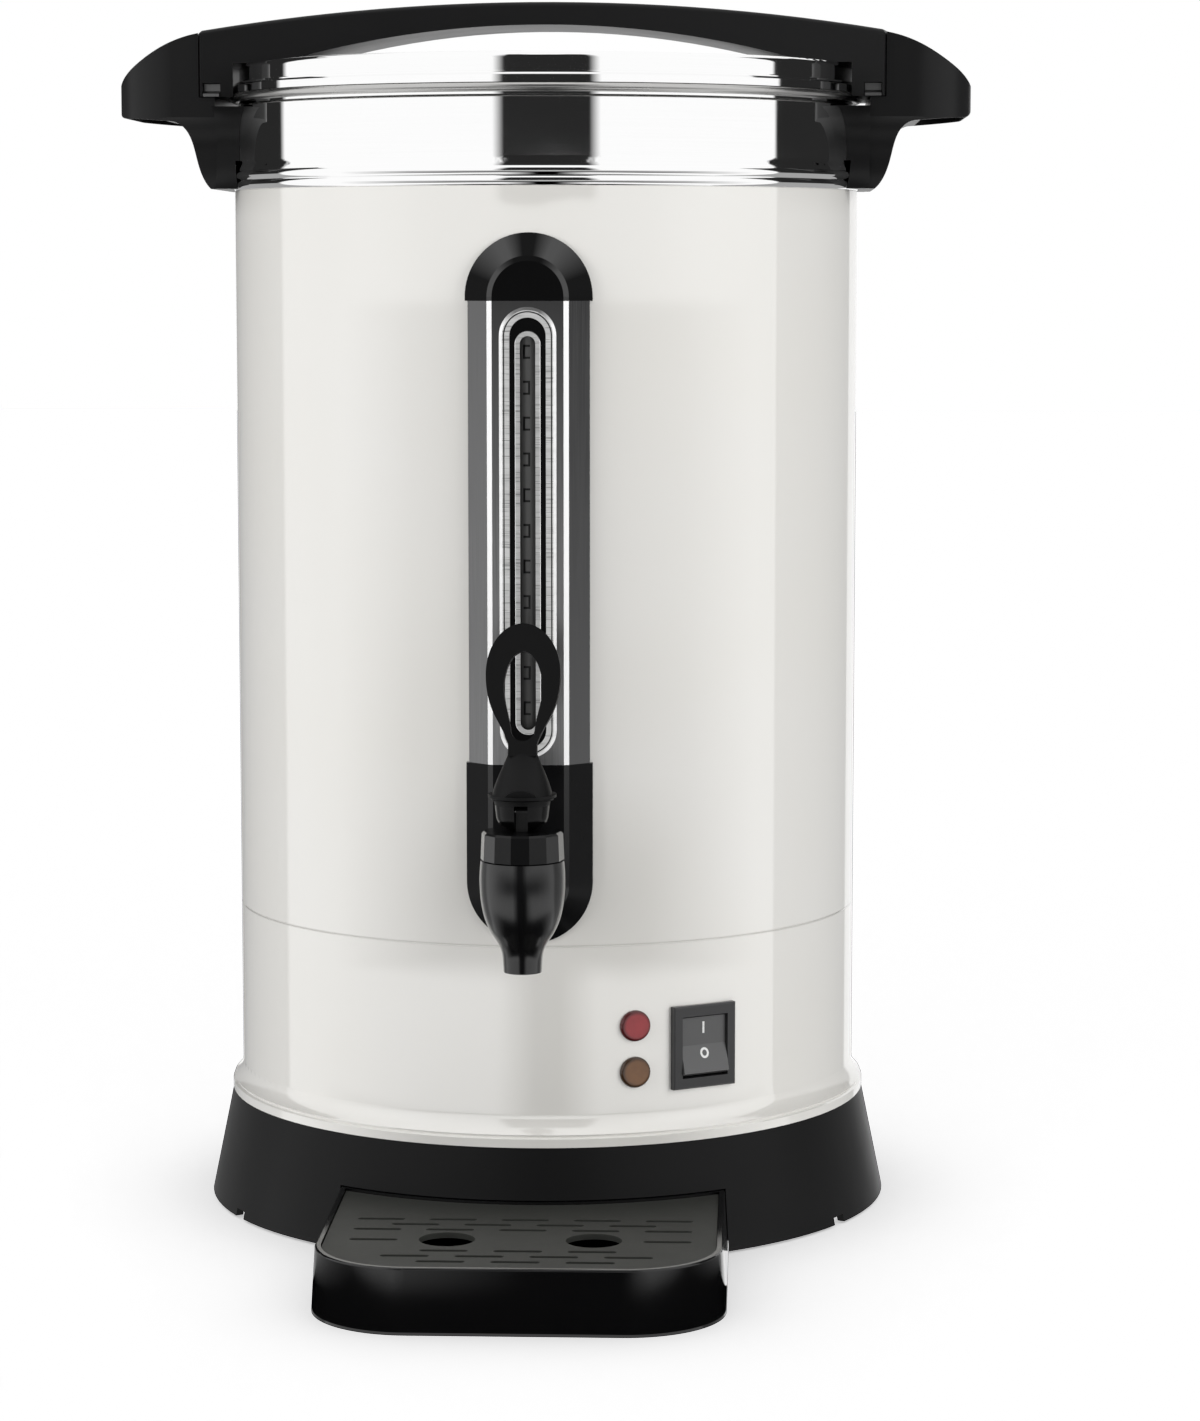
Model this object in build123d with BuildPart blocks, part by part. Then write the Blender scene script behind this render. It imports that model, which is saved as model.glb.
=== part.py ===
from build123d import *
from math import atan, cos, degrees, radians, sin, sqrt, tan
import os

# Coffee urn: a 15 litre stainless tank inside a painted jacket, on a flared plastic base with a
# pull-out drip tray, a lift-off lid, a sight gauge and a self-closing lever tap.
# Millimetres. +Z is up, the tap faces -Y, and the origin is on the urn's axis at counter level.

# ------------------------------------------------------------------ driving dimensions
# Clearances shared by every fit
FIT = 0.05              # radial clearance of a pin, screw or stem in its hole
GAP = 0.3               # clearance between pieces that move apart
PANEL_GAP = 0.3         # clearance of a body in its panel cut-out

# Base skirt and floor plate
SKIRT_LIFT = 1.0        # the skirt stops this far above the counter
SKIRT_H = 44.6
SKIRT_FOOT_R = 143.2
SKIRT_TOP_R = 134.0
SKIRT_WALL = 3.0
DECK_HOLE_R = 98.0      # opening in the skirt's top deck
DECK_T = 3.0
SPIGOT_H = 3.5          # ring that centres the lower jacket
SPIGOT_T = 2.5
NOTCH_W = 8.0           # drain notches in the skirt's lower edge
NOTCH_H = 3.0
NOTCH_ANGLE = 60.0
BOSS_INSET = 16.0       # screw bosses, in from the skirt's top radius
BOSS_ANGLE = 30.0
BOSS_D = 11.0
FOOT_D = 26.0
FOOT_H = 6.0
FOOT_BORE_D = 10.0
FOOT_BORE_DEPTH = 3.4
PLATE_T = 1.2
VENT_L = 46.0
VENT_W = 4.0
VENT_PITCH = 14.0
VENT_COUNT = 5
BASE_SCREW_D = 4.0
BASE_SCREW_L = 16.0
BASE_HEAD_D = 8.4
BASE_HEAD_H = 2.2

# Jackets
BODY_R = 130.0
JACKET_SHEET = 0.8
LOWER_JACKET_H = 80.0
UPPER_JACKET_H = 297.9
FLANGE_R = 134.3        # flared foot of the lower jacket
FLANGE_LIP_H = 3.4
FLARE_H = 12.4
JOGGLE_H = 8.0          # ring that slips inside the neighbouring jacket
JOGGLE_T = 0.9
SEAM_CHAMFER = 0.3

# Collar and tank
COLLAR_R = 129.0
COLLAR_SHEET = 0.8
COLLAR_H = 36.0
COLLAR_BEAD_H = 3.8     # two swaged beads above the jacket
COLLAR_BEAD_OUT = 0.8
COLLAR_COVE_H = 3.9
COLLAR_GROOVE = 1.0
RIM_BEAD_R = 1.75       # rolled rim of the tank
RIM_OUT = 1.6           # how far the rolled rim stands out from the jacket
TANK_R = 120.0
TANK_SHEET = 0.8
TANK_FLOOR_UP = 6.4     # tank floor above the seam between the jackets
TANK_CORNER_R = 6.0
WELL_R = 24.0           # heated well under the pump tube
WELL_DEPTH = 9.0

# Heating
HEATER_PLATE_R = 80.0
HEATER_PLATE_T = 4.0
HEATER_RING_R = 66.0
HEATER_TUBE_D = 8.0
HEATER_ARC = 320.0
HEATER_PIN_D = 4.0
HEATER_PIN_L = 18.0
THERMOSTAT_D = 16.0
THERMOSTAT_H = 9.0
SENSOR_R = 42.0         # thermostat and cut-out, out from the axis
TERMINAL_W = 6.3
TERMINAL_T = 0.8
TERMINAL_L = 8.0
ROD_D = 6.0
ROD_R = 90.0            # tie rods, out from the axis
NUT_AF = 10.0
NUT_H = 3.4

# Lid
LID_LIP_R = 130.8
LID_LIP_H = 3.3
LID_STEP_H = 1.3
LID_SKIRT_R = 127.8
LID_H = 12.0            # rim to flat top
LID_SHEET = 0.9
LID_DOME_R = 104.0
LID_DOME_H = 3.0
LID_EDGE_R = 2.4
PLUG_DEPTH = 8.0        # ring that centres the lid in the tank
PLUG_CLEAR = 0.6

# Lid arch
ARCH_END_R = 145.2
ARCH_TOP_UP = 25.2      # crown above the lid's flat top
ARCH_TOP_RADIUS = 800.0
ARCH_T = 9.3            # thickness at the crown
ARCH_UNDER_RADIUS = 380.0
ARCH_MID_W = 52.0
ARCH_END_W = 80.0
ARCH_SKIRT_UP = 1.8     # lower edge of the end blocks above the collar's top
ARCH_EDGE_R = 2.0
LID_SCREW_X = 113.0
LID_SCREW_Y = 14.0
LID_SCREW_D = 4.0
LID_SCREW_L = 11.0
LID_HEAD_D = 8.0
LID_HEAD_H = 2.0
TAB_OUT = 5.2           # steel lock tabs in the end blocks, out from the jacket
TAB_W = 6.6
TAB_H = 5.2
TAB_DEPTH = 5.0
TAB_T = 1.2

# Side grips
GRIP_SEAM_X = 134.0     # joint between the grip and its bracket
GRIP_W = 76.0
GRIP_REACH = 176.0
GRIP_CORNER_R = 24.0
GRIP_TIP_H = 9.2        # upright end face of the wing
GRIP_TIP_UP = 6.2       # tip's top edge above the collar's top
GRIP_SHOULDER_X = 165.6
GRIP_SHOULDER_UP = 16.2
GRIP_TOP_UP = 27.6      # inner top edge above the collar's top
GRIP_UNDER_UP = -6.5
GRIP_COLUMN_X = 152.0
GRIP_COLUMN_MID_X = 142.4
GRIP_TOE_X = 136.2
GRIP_TOE_W = 72.0
GRIP_WAIST_W = 62.0
GRIP_WALL = 2.6         # wall round the hollow under the wing
GRIP_HOLLOW_UP = 4.5
BRACKET_TOP_W = 92.0
BRACKET_WAIST_W = 66.0
BRACKET_TOE_W = 80.0
BRACKET_TOP_DOWN = 2.4  # bracket's top below the collar's top
HANDLE_SCREW_D = 5.0
HANDLE_SCREW_L = 12.0
HANDLE_HEAD_D = 9.0
HANDLE_HEAD_H = 3.0
HANDLE_SCREW_PITCH = 14.0
HANDLE_SCREW_DOWN = 15.5

# Gauge housing
HOUSING_PROUD = 8.0     # front face out from the jacket
HOUSING_HALF_W = 24.8
SHIELD_HALF_W = 23.7
FRONT_HALF_W = 13.9
BEVEL_W = 2.0
BEVEL_D = 1.0
FACET_END = 0.4         # the slanted sides end this far in front of the jacket
HOUSING_WALL = 1.6
SHIELD_SHEET = 1.2
SHIELD_H = 180.2
LOWER_HOUSING_H = 45.6  # lower housing above the tap's inlet
LOWER_ROUND_DOWN = 1.5  # centre of its round end, below the inlet
CAP_RISE = 1.5          # straight run of the cap below its round end
SLOT_R = 11.1           # round-ended frame in the shield
SLOT_END_GAP = 2.7      # shield left below the frame
SLOT_TOP_GAP = 2.3      # and above it
FRAME_T = 2.2
FRAME_PROUD = 0.5
FRAME_BEVEL = 1.2
FRAME_BEAD_W = 1.6      # outer bead of the frame, then a groove and a flat ring
FRAME_GROOVE_W = 0.5
FRAME_GROOVE_D = 0.4
CHANNEL_R = 7.0
CHANNEL_REAR = 1.0
SIGHT_RIM_R = 4.95      # bright rim round the sight window
SIGHT_RIM_W = 1.95
SIGHT_RIM_T = 0.4
SIGHT_END_GAP = 5.1     # channel's face left beyond the rim's ends
TUBE_R = 4.8
TUBE_WALL = 1.6
TUBE_BACK = 8.5         # tube axis behind the housing's front face
TUBE_TOP_OVER = 10.0    # tube above the shield's top
TUBE_SOCKET = 9.7
TUBE_SEAL_T = 1.4
TUBE_SEAL_H = 3.0
TUBE_PLUG_H = 4.0

# Tap
TAP_UP = 27.7           # tap's inlet above the jacket seam
TAP_OUT = 48.0          # tap axis out from the jacket
SPOUT_DROP = 28.9       # spout tip below the inlet
SPOUT_R = 7.3
SPOUT_BORE_R = 5.3
BARREL_R = 16.4
BARREL_MID_UP = 7.0     # widest ring above the inlet
BARREL_TOP_UP = 14.2
BARREL_TOP_R = 15.9
BARREL_BORE_R = 11.5
SEAT_DOWN = 6.3         # valve seat below the inlet
SHANK_R = 8.0
SHANK_BORE_R = 5.5
SHANK_BOSS_R = 11.0
SHANK_BOSS_L = 21.0
SHANK_SOCKET = 9.5
SHANK_INSIDE = 11.2     # shank's end inside the tank wall
ESCUTCHEON_R = 12.0
ESCUTCHEON_T = 2.5
WASHER_T = 1.0
INNER_WASHER_R = 13.0
INNER_WASHER_T = 4.0
SHANK_NUT_AF = 24.0
SHANK_NUT_H = 6.0
TEE_R = 6.3
TEE_UP = 22.0
TEE_BORE_R = 2.8
BONNET_R = 16.0
BONNET_H = 11.2
BONNET_SIDES = 14
BONNET_TAPER = 2.5
BONNET_PLATE_T = 3.0
BONNET_SPIGOT = 7.0
BONNET_CHAMBER_R = 9.5
STEM_R = 2.3
STEM_BLADE_W = 4.6
STEM_BLADE_D = 6.0
STEM_FLANGE_R = 7.5
STEM_FLANGE_T = 1.6
STEM_BULB_R = 3.5
STEM_BULB_H = 3.0
CUP_R = 9.0
CUP_T = 4.5
SPRING_R = 5.6
SPRING_WIRE_R = 0.6
SPRING_TURNS = 5

# Tap lever
PIVOT_UP = 7.5          # hinge pin above the bonnet
HUB_BOTTOM_R = 9.4
HUB_TOP_R = 10.8
HUB_H = 11.9
HUB_ROUND = 6.4
HUB_SLOT_W = 5.2
SAUCER_R = 13.0
SAUCER_T = 1.2
SAUCER_RISE = 2.2
LEVER_LEAN = 10.0       # the loop leans back from upright
LEVER_BASE_R = 11.9
LEVER_BASE_H = 16.0
LEVER_NECK_W = 11.0
LEVER_NECK_UP = 20.9    # from the hinge pin along the lever
LEVER_NECK_H = 4.6
LEVER_T = 5.6
LOOP_W = 28.5
LOOP_SIDE_W = 22.4
LOOP_SIDE_UP = 37.4
LOOP_MID_UP = 52.3
LOOP_TOP_UP = 71.6
EYE_W = 14.6
EYE_LOW_UP = 26.7
EYE_MID_UP = 47.0
EYE_TOP_UP = 60.9
EYE_LOW_R = 4.6
LOOP_ARC = 180.0        # loop and eye end in half ellipses
PAD_W = 12.4            # arched pad on the bell, over the hinge
PAD_H = 3.2
PAD_OUT = 11.2
PIVOT_PIN_R = 1.25
PIVOT_PIN_L = 17.0

# Switch, lamps and inlet, on the lower jacket
PANEL_DOWN = 42.7       # centre line below the seam
SWITCH_ANGLE = 31.5
SWITCH_W = 28.5
SWITCH_H = 33.5
SWITCH_PROUD = 2.2
SWITCH_WALL = 1.0
SWITCH_BODY_D = 20.0
ROCKER_W = 20.5
ROCKER_R = 12.25        # rocker's round ends, about its pivot
ROCKER_CLEAR = 0.2
ROCKER_PIVOT_IN = 3.0   # pivot behind the jacket's surface
ROCKER_FACE_OUT = 0.6
ROCKER_TILT = 8.0
ROCKER_PIN_R = 1.5
LAMP_ANGLE = 18.5
LAMP_UP = 10.1          # red lamp above the centre line
LAMP_DOWN = 8.6         # amber lamp below it
LAMP_R = 6.25
LAMP_PROUD = 1.6
LAMP_BODY_R = 5.0
LAMP_BODY_D = 18.0
CLIP_R = 8.0
CLIP_T = 1.0
INLET_W = 30.5
INLET_H = 23.0
INLET_PROUD = 2.2
INLET_BODY_W = 27.0
INLET_BODY_H = 19.5
INLET_BODY_D = 22.0
INLET_CAVITY_W = 24.0
INLET_CAVITY_H = 16.2
INLET_CAVITY_D = 18.0
INLET_PIN_W = 2.0
INLET_PIN_H = 4.0
INLET_PIN_L = 13.0
INLET_PIN_PITCH = 7.0
INLET_PIN_DROP = 2.0

# Pump tube and coffee basket
PUMP_R = 6.0
PUMP_BORE_R = 5.0
PUMP_H = 322.0
PUMP_BASE_R = 22.0
PUMP_BASE_H = 14.0
PUMP_COLLAR_R = 10.0
PUMP_COLLAR_H = 4.0
BASKET_UP = 218.0       # basket floor above the well
BASKET_R = 70.0
BASKET_H = 92.0
BASKET_SHEET = 0.8
BASKET_RIM = 3.0
BASKET_HOLE_D = 4.0
BASKET_HOLE_RING = 44.0
BASKET_HOLES = 16
COVER_T = 0.8
COVER_RISE = 4.0
COVER_HOLE_RING = 40.0
COVER_HOLES = 12

# Drip tray
TRAY_HALF_W = 77.1      # at the rim
TRAY_DRAFT = 1.5        # the walls spread by this much at the foot
TRAY_OUT = 113.6        # front of the tray out from the jacket
TRAY_H = 25.0
TRAY_CORNER_R = 36.7    # front corners, at the rim
TRAY_WALL = 2.2
TRAY_FLOOR = 1.8
TRAY_IN = 27.0          # how far the tray runs in under the jacket
COVER_PLATE_T = 2.2
COVER_RECESS = 0.9
COVER_CLEAR = 2.0       # cover's back edge in front of the skirt
LEDGE_W = 2.0
LEDGE_H = 2.5
POCKET_WALL = 2.5
FINGER_D = 21.5
FINGER_X = 28.0
FINGER_BACK = 47.3      # finger holes behind the tray's front
DRAIN_L = 18.6
DRAIN_W = 3.0
DRAIN_ROW = 8.1
DRAIN_PITCH = 28.0
DRAIN_FRONT = 13.9      # first row of drain slots behind the tray's front

# ------------------------------------------------------------------ heights and places
SKIRT_TOP = SKIRT_LIFT + SKIRT_H
SEAM = SKIRT_TOP + LOWER_JACKET_H
JACKET_TOP = SEAM + UPPER_JACKET_H
COLLAR_TOP = JACKET_TOP + COLLAR_H
RIM_TOP = COLLAR_TOP + 2 * RIM_BEAD_R
LID_TOP = RIM_TOP + LID_H
TANK_FLOOR = SEAM + TANK_FLOOR_UP
WELL_FLOOR = TANK_FLOOR - WELL_DEPTH
HEATER_FACE = TANK_FLOOR - TANK_SHEET
PLATE_TOP = FOOT_H + PLATE_T
PANEL_Z = SEAM - PANEL_DOWN
JOGGLE_R = BODY_R - JACKET_SHEET - 0.1
RIM_BEAD_CENTRE = BODY_R + RIM_OUT - RIM_BEAD_R
BOSS_X = (SKIRT_TOP_R - BOSS_INSET) * cos(radians(BOSS_ANGLE))
BOSS_Y = (SKIRT_TOP_R - BOSS_INSET) * sin(radians(BOSS_ANGLE))
HOUSING_FRONT = BODY_R + HOUSING_PROUD
TUBE_Y = HOUSING_FRONT - TUBE_BACK
TAP_Z = SEAM + TAP_UP
TAP_Y = BODY_R + TAP_OUT
SHIELD_LOW = TAP_Z + LOWER_HOUSING_H
SHIELD_TOP = SHIELD_LOW + SHIELD_H
FRAME_H = SHIELD_H - SLOT_END_GAP - SLOT_TOP_GAP
FRAME_MID = SHIELD_LOW + SLOT_END_GAP + FRAME_H / 2
CHANNEL_H = FRAME_H - 2 * (SLOT_R - CHANNEL_R)
SIGHT_RIM_H = CHANNEL_H - 2 * SIGHT_END_GAP
WINDOW_R = SIGHT_RIM_R - SIGHT_RIM_W
WINDOW_H = SIGHT_RIM_H - 2 * SIGHT_RIM_W
BARREL_TOP = TAP_Z + BARREL_TOP_UP
SEAT_Z = TAP_Z - SEAT_DOWN
BONNET_TOP = BARREL_TOP + BONNET_H
PIVOT_Z = BONNET_TOP + PIVOT_UP
TRAY_FRONT = BODY_R + TRAY_OUT
TRAY_REAR = BODY_R - TRAY_IN
POCKET_HALF_W = TRAY_HALF_W + TRAY_DRAFT + GAP
POCKET_REAR = TRAY_REAR - GAP
POCKET_TOP = TRAY_H + GAP


def skirt_radius(z):
    """Outer radius of the flared skirt at a height."""
    return SKIRT_TOP_R + (SKIRT_FOOT_R - SKIRT_TOP_R) * (SKIRT_TOP - z) / SKIRT_H


def radial_plane(angle, radius, z):
    """Plane that faces outwards at an angle from the front: local x to its right, local y up."""
    a = radians(angle)
    return Plane(
        origin=(radius * sin(a), -radius * cos(a), z),
        x_dir=(cos(a), sin(a), 0),
        z_dir=(sin(a), -cos(a), 0),
    )


def front_plane(distance, z=0.0):
    """Upright plane that faces the front, at a distance from the urn's axis."""
    return radial_plane(0, distance, z)


# ------------------------------------------------------------------ base
with BuildPart() as base_skirt:
    with BuildSketch(Plane.XZ):
        with BuildLine():
            spigot_r = FLANGE_R - 2.1 - GAP
            Polyline(
                (SKIRT_FOOT_R, SKIRT_LIFT),
                (SKIRT_TOP_R, SKIRT_TOP),
                (spigot_r, SKIRT_TOP),
                (spigot_r, SKIRT_TOP + SPIGOT_H),
                (spigot_r - SPIGOT_T, SKIRT_TOP + SPIGOT_H),
                (spigot_r - SPIGOT_T, SKIRT_TOP),
                (DECK_HOLE_R, SKIRT_TOP),
                (DECK_HOLE_R, SKIRT_TOP - DECK_T),
                (SKIRT_TOP_R - SKIRT_WALL, SKIRT_TOP - DECK_T),
                (SKIRT_FOOT_R - SKIRT_WALL, SKIRT_LIFT),
                close=True,
            )
        make_face()
    revolve(axis=Axis.Z)
    # screw bosses under the deck
    with BuildSketch(Plane.XY.offset(PLATE_TOP)):
        with GridLocations(2 * BOSS_X, 2 * BOSS_Y, 2, 2):
            Circle(BOSS_D / 2)
    extrude(amount=SKIRT_TOP - DECK_T - PLATE_TOP)
    # walls and ceiling round the tray's pocket, trimmed to the flared outline
    with BuildSketch(Plane.XY.offset(SKIRT_LIFT)):
        with Locations((0, -(POCKET_REAR - POCKET_WALL + SKIRT_FOOT_R) / 2)):
            Rectangle(2 * (POCKET_HALF_W + POCKET_WALL), SKIRT_FOOT_R - POCKET_REAR + POCKET_WALL)
    extrude(amount=POCKET_TOP + POCKET_WALL - SKIRT_LIFT)
    with BuildSketch(Plane.XZ):
        with BuildLine():
            Polyline(
                (0, SKIRT_LIFT),
                (SKIRT_FOOT_R, SKIRT_LIFT),
                (SKIRT_TOP_R, SKIRT_TOP),
                (SKIRT_TOP_R, SKIRT_TOP + SPIGOT_H),
                (0, SKIRT_TOP + SPIGOT_H),
                close=True,
            )
        make_face()
    revolve(axis=Axis.Z, mode=Mode.INTERSECT)
    with BuildSketch(front_plane(POCKET_REAR)):
        with BuildLine():
            pocket_top_half_w = POCKET_HALF_W - TRAY_DRAFT * POCKET_TOP / TRAY_H
            Polyline(
                (-POCKET_HALF_W, 0),
                (-pocket_top_half_w, POCKET_TOP),
                (pocket_top_half_w, POCKET_TOP),
                (POCKET_HALF_W, 0),
                close=True,
            )
        make_face()
    extrude(amount=SKIRT_FOOT_R + BOSS_D - POCKET_REAR, mode=Mode.SUBTRACT)
    with PolarLocations(SKIRT_FOOT_R, 2, -90 - NOTCH_ANGLE, 2 * NOTCH_ANGLE, endpoint=True):
        Box(4 * SKIRT_WALL, NOTCH_W, 2 * (SKIRT_LIFT + NOTCH_H), mode=Mode.SUBTRACT)
    with BuildSketch(Plane.XY.offset(PLATE_TOP)):
        with GridLocations(2 * BOSS_X, 2 * BOSS_Y, 2, 2):
            Circle(BASE_SCREW_D / 2 + FIT)
    extrude(amount=BASE_SCREW_L, mode=Mode.SUBTRACT)
base_skirt.part.label = "base_skirt"

rod_angles = (90, 210, 330)

with BuildPart() as base_plate:
    with BuildSketch(Plane.XY.offset(FOOT_H)):
        Circle(skirt_radius(PLATE_TOP) - SKIRT_WALL - GAP)
        with Locations((0, -(POCKET_REAR - POCKET_WALL - GAP + SKIRT_FOOT_R) / 2)):
            Rectangle(
                2 * (POCKET_HALF_W + POCKET_WALL + GAP),
                SKIRT_FOOT_R - POCKET_REAR + POCKET_WALL + GAP,
                mode=Mode.SUBTRACT,
            )
        with GridLocations(2 * BOSS_X, 2 * BOSS_Y, 2, 2):
            Circle(BASE_SCREW_D / 2 + PANEL_GAP, mode=Mode.SUBTRACT)
        with PolarLocations(ROD_R, 3, 90):
            Circle(ROD_D / 2 + FIT, mode=Mode.SUBTRACT)
        with GridLocations(0, VENT_PITCH, 1, VENT_COUNT):
            SlotOverall(VENT_L, VENT_W, mode=Mode.SUBTRACT)
    extrude(amount=PLATE_T)
base_plate.part.label = "base_plate"

with BuildPart() as rubber_feet:
    with BuildSketch():
        with GridLocations(2 * BOSS_X, 2 * BOSS_Y, 2, 2):
            Circle(FOOT_D / 2)
    extrude(amount=FOOT_H)
    chamfer(rubber_feet.edges().filter_by(GeomType.CIRCLE).group_by(Axis.Z)[0], length=1.0)
    with GridLocations(2 * BOSS_X, 2 * BOSS_Y, 2, 2):
        Cylinder(FOOT_BORE_D / 2, 2 * FOOT_BORE_DEPTH, mode=Mode.SUBTRACT)
        Cylinder(BASE_SCREW_D / 2 + PANEL_GAP, 4 * FOOT_H, mode=Mode.SUBTRACT)
rubber_feet.part.label = "rubber_feet"

with BuildPart() as base_screws:
    with BuildSketch(Plane.XY.offset(FOOT_BORE_DEPTH)):
        with GridLocations(2 * BOSS_X, 2 * BOSS_Y, 2, 2):
            Circle(BASE_SCREW_D / 2)
    extrude(amount=BASE_SCREW_L)
    with BuildSketch(Plane.XY.offset(FOOT_BORE_DEPTH)):
        with GridLocations(2 * BOSS_X, 2 * BOSS_Y, 2, 2):
            Circle(BASE_HEAD_D / 2)
    extrude(amount=-BASE_HEAD_H)
base_screws.part.label = "base_screws"

# ------------------------------------------------------------------ jackets
switch_plane = radial_plane(SWITCH_ANGLE, BODY_R, PANEL_Z)
inlet_plane = radial_plane(180, BODY_R, PANEL_Z)
red_plane = radial_plane(LAMP_ANGLE, BODY_R, PANEL_Z + LAMP_UP)
amber_plane = radial_plane(LAMP_ANGLE, BODY_R, PANEL_Z - LAMP_DOWN)
SWITCH_BODY_W = ROCKER_W + 2 * (ROCKER_CLEAR + SWITCH_WALL)
SWITCH_BODY_H = 2 * (ROCKER_R + ROCKER_CLEAR + SWITCH_WALL)

with BuildPart() as lower_jacket:
    with BuildSketch(Plane.XZ):
        with BuildLine():
            lip_top = SKIRT_TOP + FLANGE_LIP_H
            flare_top = SKIRT_TOP + FLARE_H
            inner_r = BODY_R - JACKET_SHEET
            Polyline(
                (FLANGE_R - 0.6, lip_top + 1.6),
                (FLANGE_R - 1.0, lip_top + 0.6),
                (FLANGE_R, lip_top),
                (FLANGE_R, SKIRT_TOP),
                (FLANGE_R - 2.1, SKIRT_TOP),
                (FLANGE_R - 2.1, SKIRT_TOP + SPIGOT_H + GAP),
            )
            TangentArc((inner_r, flare_top), (FLANGE_R - 2.1, SKIRT_TOP + SPIGOT_H + GAP), tangent=(0, -1))
            Polyline(
                (inner_r, flare_top),
                (inner_r, SEAM - JOGGLE_H / 2 - JOGGLE_T),
                (JOGGLE_R - JOGGLE_T, SEAM - JOGGLE_H / 2),
                (JOGGLE_R - JOGGLE_T, SEAM + JOGGLE_H),
                (JOGGLE_R, SEAM + JOGGLE_H),
                (JOGGLE_R, SEAM),
                (BODY_R - SEAM_CHAMFER, SEAM),
                (BODY_R, SEAM - SEAM_CHAMFER),
                (BODY_R, flare_top),
            )
            TangentArc((BODY_R, flare_top), (FLANGE_R - 0.6, lip_top + 1.6), tangent=(0, -1))
        make_face()
    revolve(axis=Axis.Z)
    with BuildSketch(switch_plane.offset(-BODY_R / 4)):
        Rectangle(SWITCH_BODY_W + 2 * PANEL_GAP, SWITCH_BODY_H + 2 * PANEL_GAP)
    extrude(amount=BODY_R / 2, mode=Mode.SUBTRACT)
    with BuildSketch(inlet_plane.offset(-BODY_R / 4)):
        Rectangle(INLET_BODY_W + 2 * PANEL_GAP, INLET_BODY_H + 2 * PANEL_GAP)
    extrude(amount=BODY_R / 2, mode=Mode.SUBTRACT)
    for lamp_plane in (red_plane, amber_plane):
        with BuildSketch(lamp_plane.offset(-BODY_R / 4)):
            Circle(LAMP_BODY_R + PANEL_GAP)
        extrude(amount=BODY_R / 2, mode=Mode.SUBTRACT)
lower_jacket.part.label = "lower_jacket"

JACKET_SLOT_R = CHANNEL_R + GAP
tube_top = SHIELD_TOP + TUBE_TOP_OVER
seal_room_r = TUBE_R + TUBE_SEAL_T + GAP
slot_top = tube_top + TUBE_PLUG_H + GAP - sqrt(JACKET_SLOT_R**2 - seal_room_r**2)

with BuildPart() as upper_jacket:
    with BuildSketch(Plane.XY.offset(SEAM)):
        Circle(BODY_R)
        Circle(BODY_R - JACKET_SHEET, mode=Mode.SUBTRACT)
    extrude(amount=UPPER_JACKET_H)
    outer_rims = upper_jacket.edges().filter_by(GeomType.CIRCLE).group_by(SortBy.RADIUS)[-1]
    chamfer(outer_rims, length=SEAM_CHAMFER)
    # slot behind the gauge housing, with a round hole for the tap's shank
    with BuildSketch(front_plane(TANK_R)):
        with Locations((0, (TAP_Z + slot_top) / 2)):
            SlotOverall(slot_top - TAP_Z + 2 * JACKET_SLOT_R, 2 * JACKET_SLOT_R, rotation=90)
        with Locations((0, TAP_Z)):
            Circle(SHANK_R + GAP)
    extrude(amount=BODY_R - TANK_R + HOUSING_PROUD, mode=Mode.SUBTRACT)
upper_jacket.part.label = "upper_jacket"

# ------------------------------------------------------------------ collar and tank
with BuildPart() as collar:
    with BuildSketch(Plane.XZ):
        with BuildLine():
            foot_r = BODY_R - 0.2
            bead_1 = JACKET_TOP + COLLAR_BEAD_H
            bead_2 = bead_1 + COLLAR_BEAD_H
            cove_top = bead_2 + COLLAR_COVE_H
            inner_r = COLLAR_R - COLLAR_SHEET
            lip_out = RIM_BEAD_CENTRE - RIM_BEAD_R - GAP
            lip_in = lip_out - 1.4
            lip_top = RIM_TOP - TANK_SHEET
            ThreePointArc(
                (foot_r, JACKET_TOP),
                (foot_r + COLLAR_BEAD_OUT, JACKET_TOP + COLLAR_BEAD_H / 2),
                (foot_r, bead_1),
            )
            ThreePointArc(
                (foot_r, bead_1),
                (foot_r + COLLAR_BEAD_OUT, bead_1 + COLLAR_BEAD_H / 2),
                (foot_r, bead_2),
            )
            Spline((foot_r, bead_2), (COLLAR_R, cove_top), tangents=((0, 1), (0, 1)))
            Polyline(
                (COLLAR_R, cove_top),
                (COLLAR_R, COLLAR_TOP - 2 * COLLAR_GROOVE),
                (COLLAR_R - COLLAR_GROOVE, COLLAR_TOP - COLLAR_GROOVE),
                (COLLAR_R - COLLAR_GROOVE, COLLAR_TOP),
                (lip_out, COLLAR_TOP),
                (lip_out, lip_top),
                (lip_in, lip_top),
                (lip_in, COLLAR_TOP - 2 * COLLAR_GROOVE),
                (inner_r, COLLAR_TOP - 4 * COLLAR_GROOVE),
                (inner_r, JACKET_TOP - JOGGLE_H),
                (JOGGLE_R, JACKET_TOP - JOGGLE_H),
                (JOGGLE_R, JACKET_TOP),
                (foot_r, JACKET_TOP),
            )
        make_face()
    revolve(axis=Axis.Z)
    # screw holes for the side brackets
    for side in (-90, 90):
        with BuildSketch(radial_plane(side, TANK_R, COLLAR_TOP - HANDLE_SCREW_DOWN)):
            with GridLocations(0, HANDLE_SCREW_PITCH, 1, 2):
                Circle(HANDLE_SCREW_D / 2 + PANEL_GAP)
        extrude(amount=BODY_R - TANK_R + COLLAR_BEAD_OUT, mode=Mode.SUBTRACT)
collar.part.label = "collar"

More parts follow.
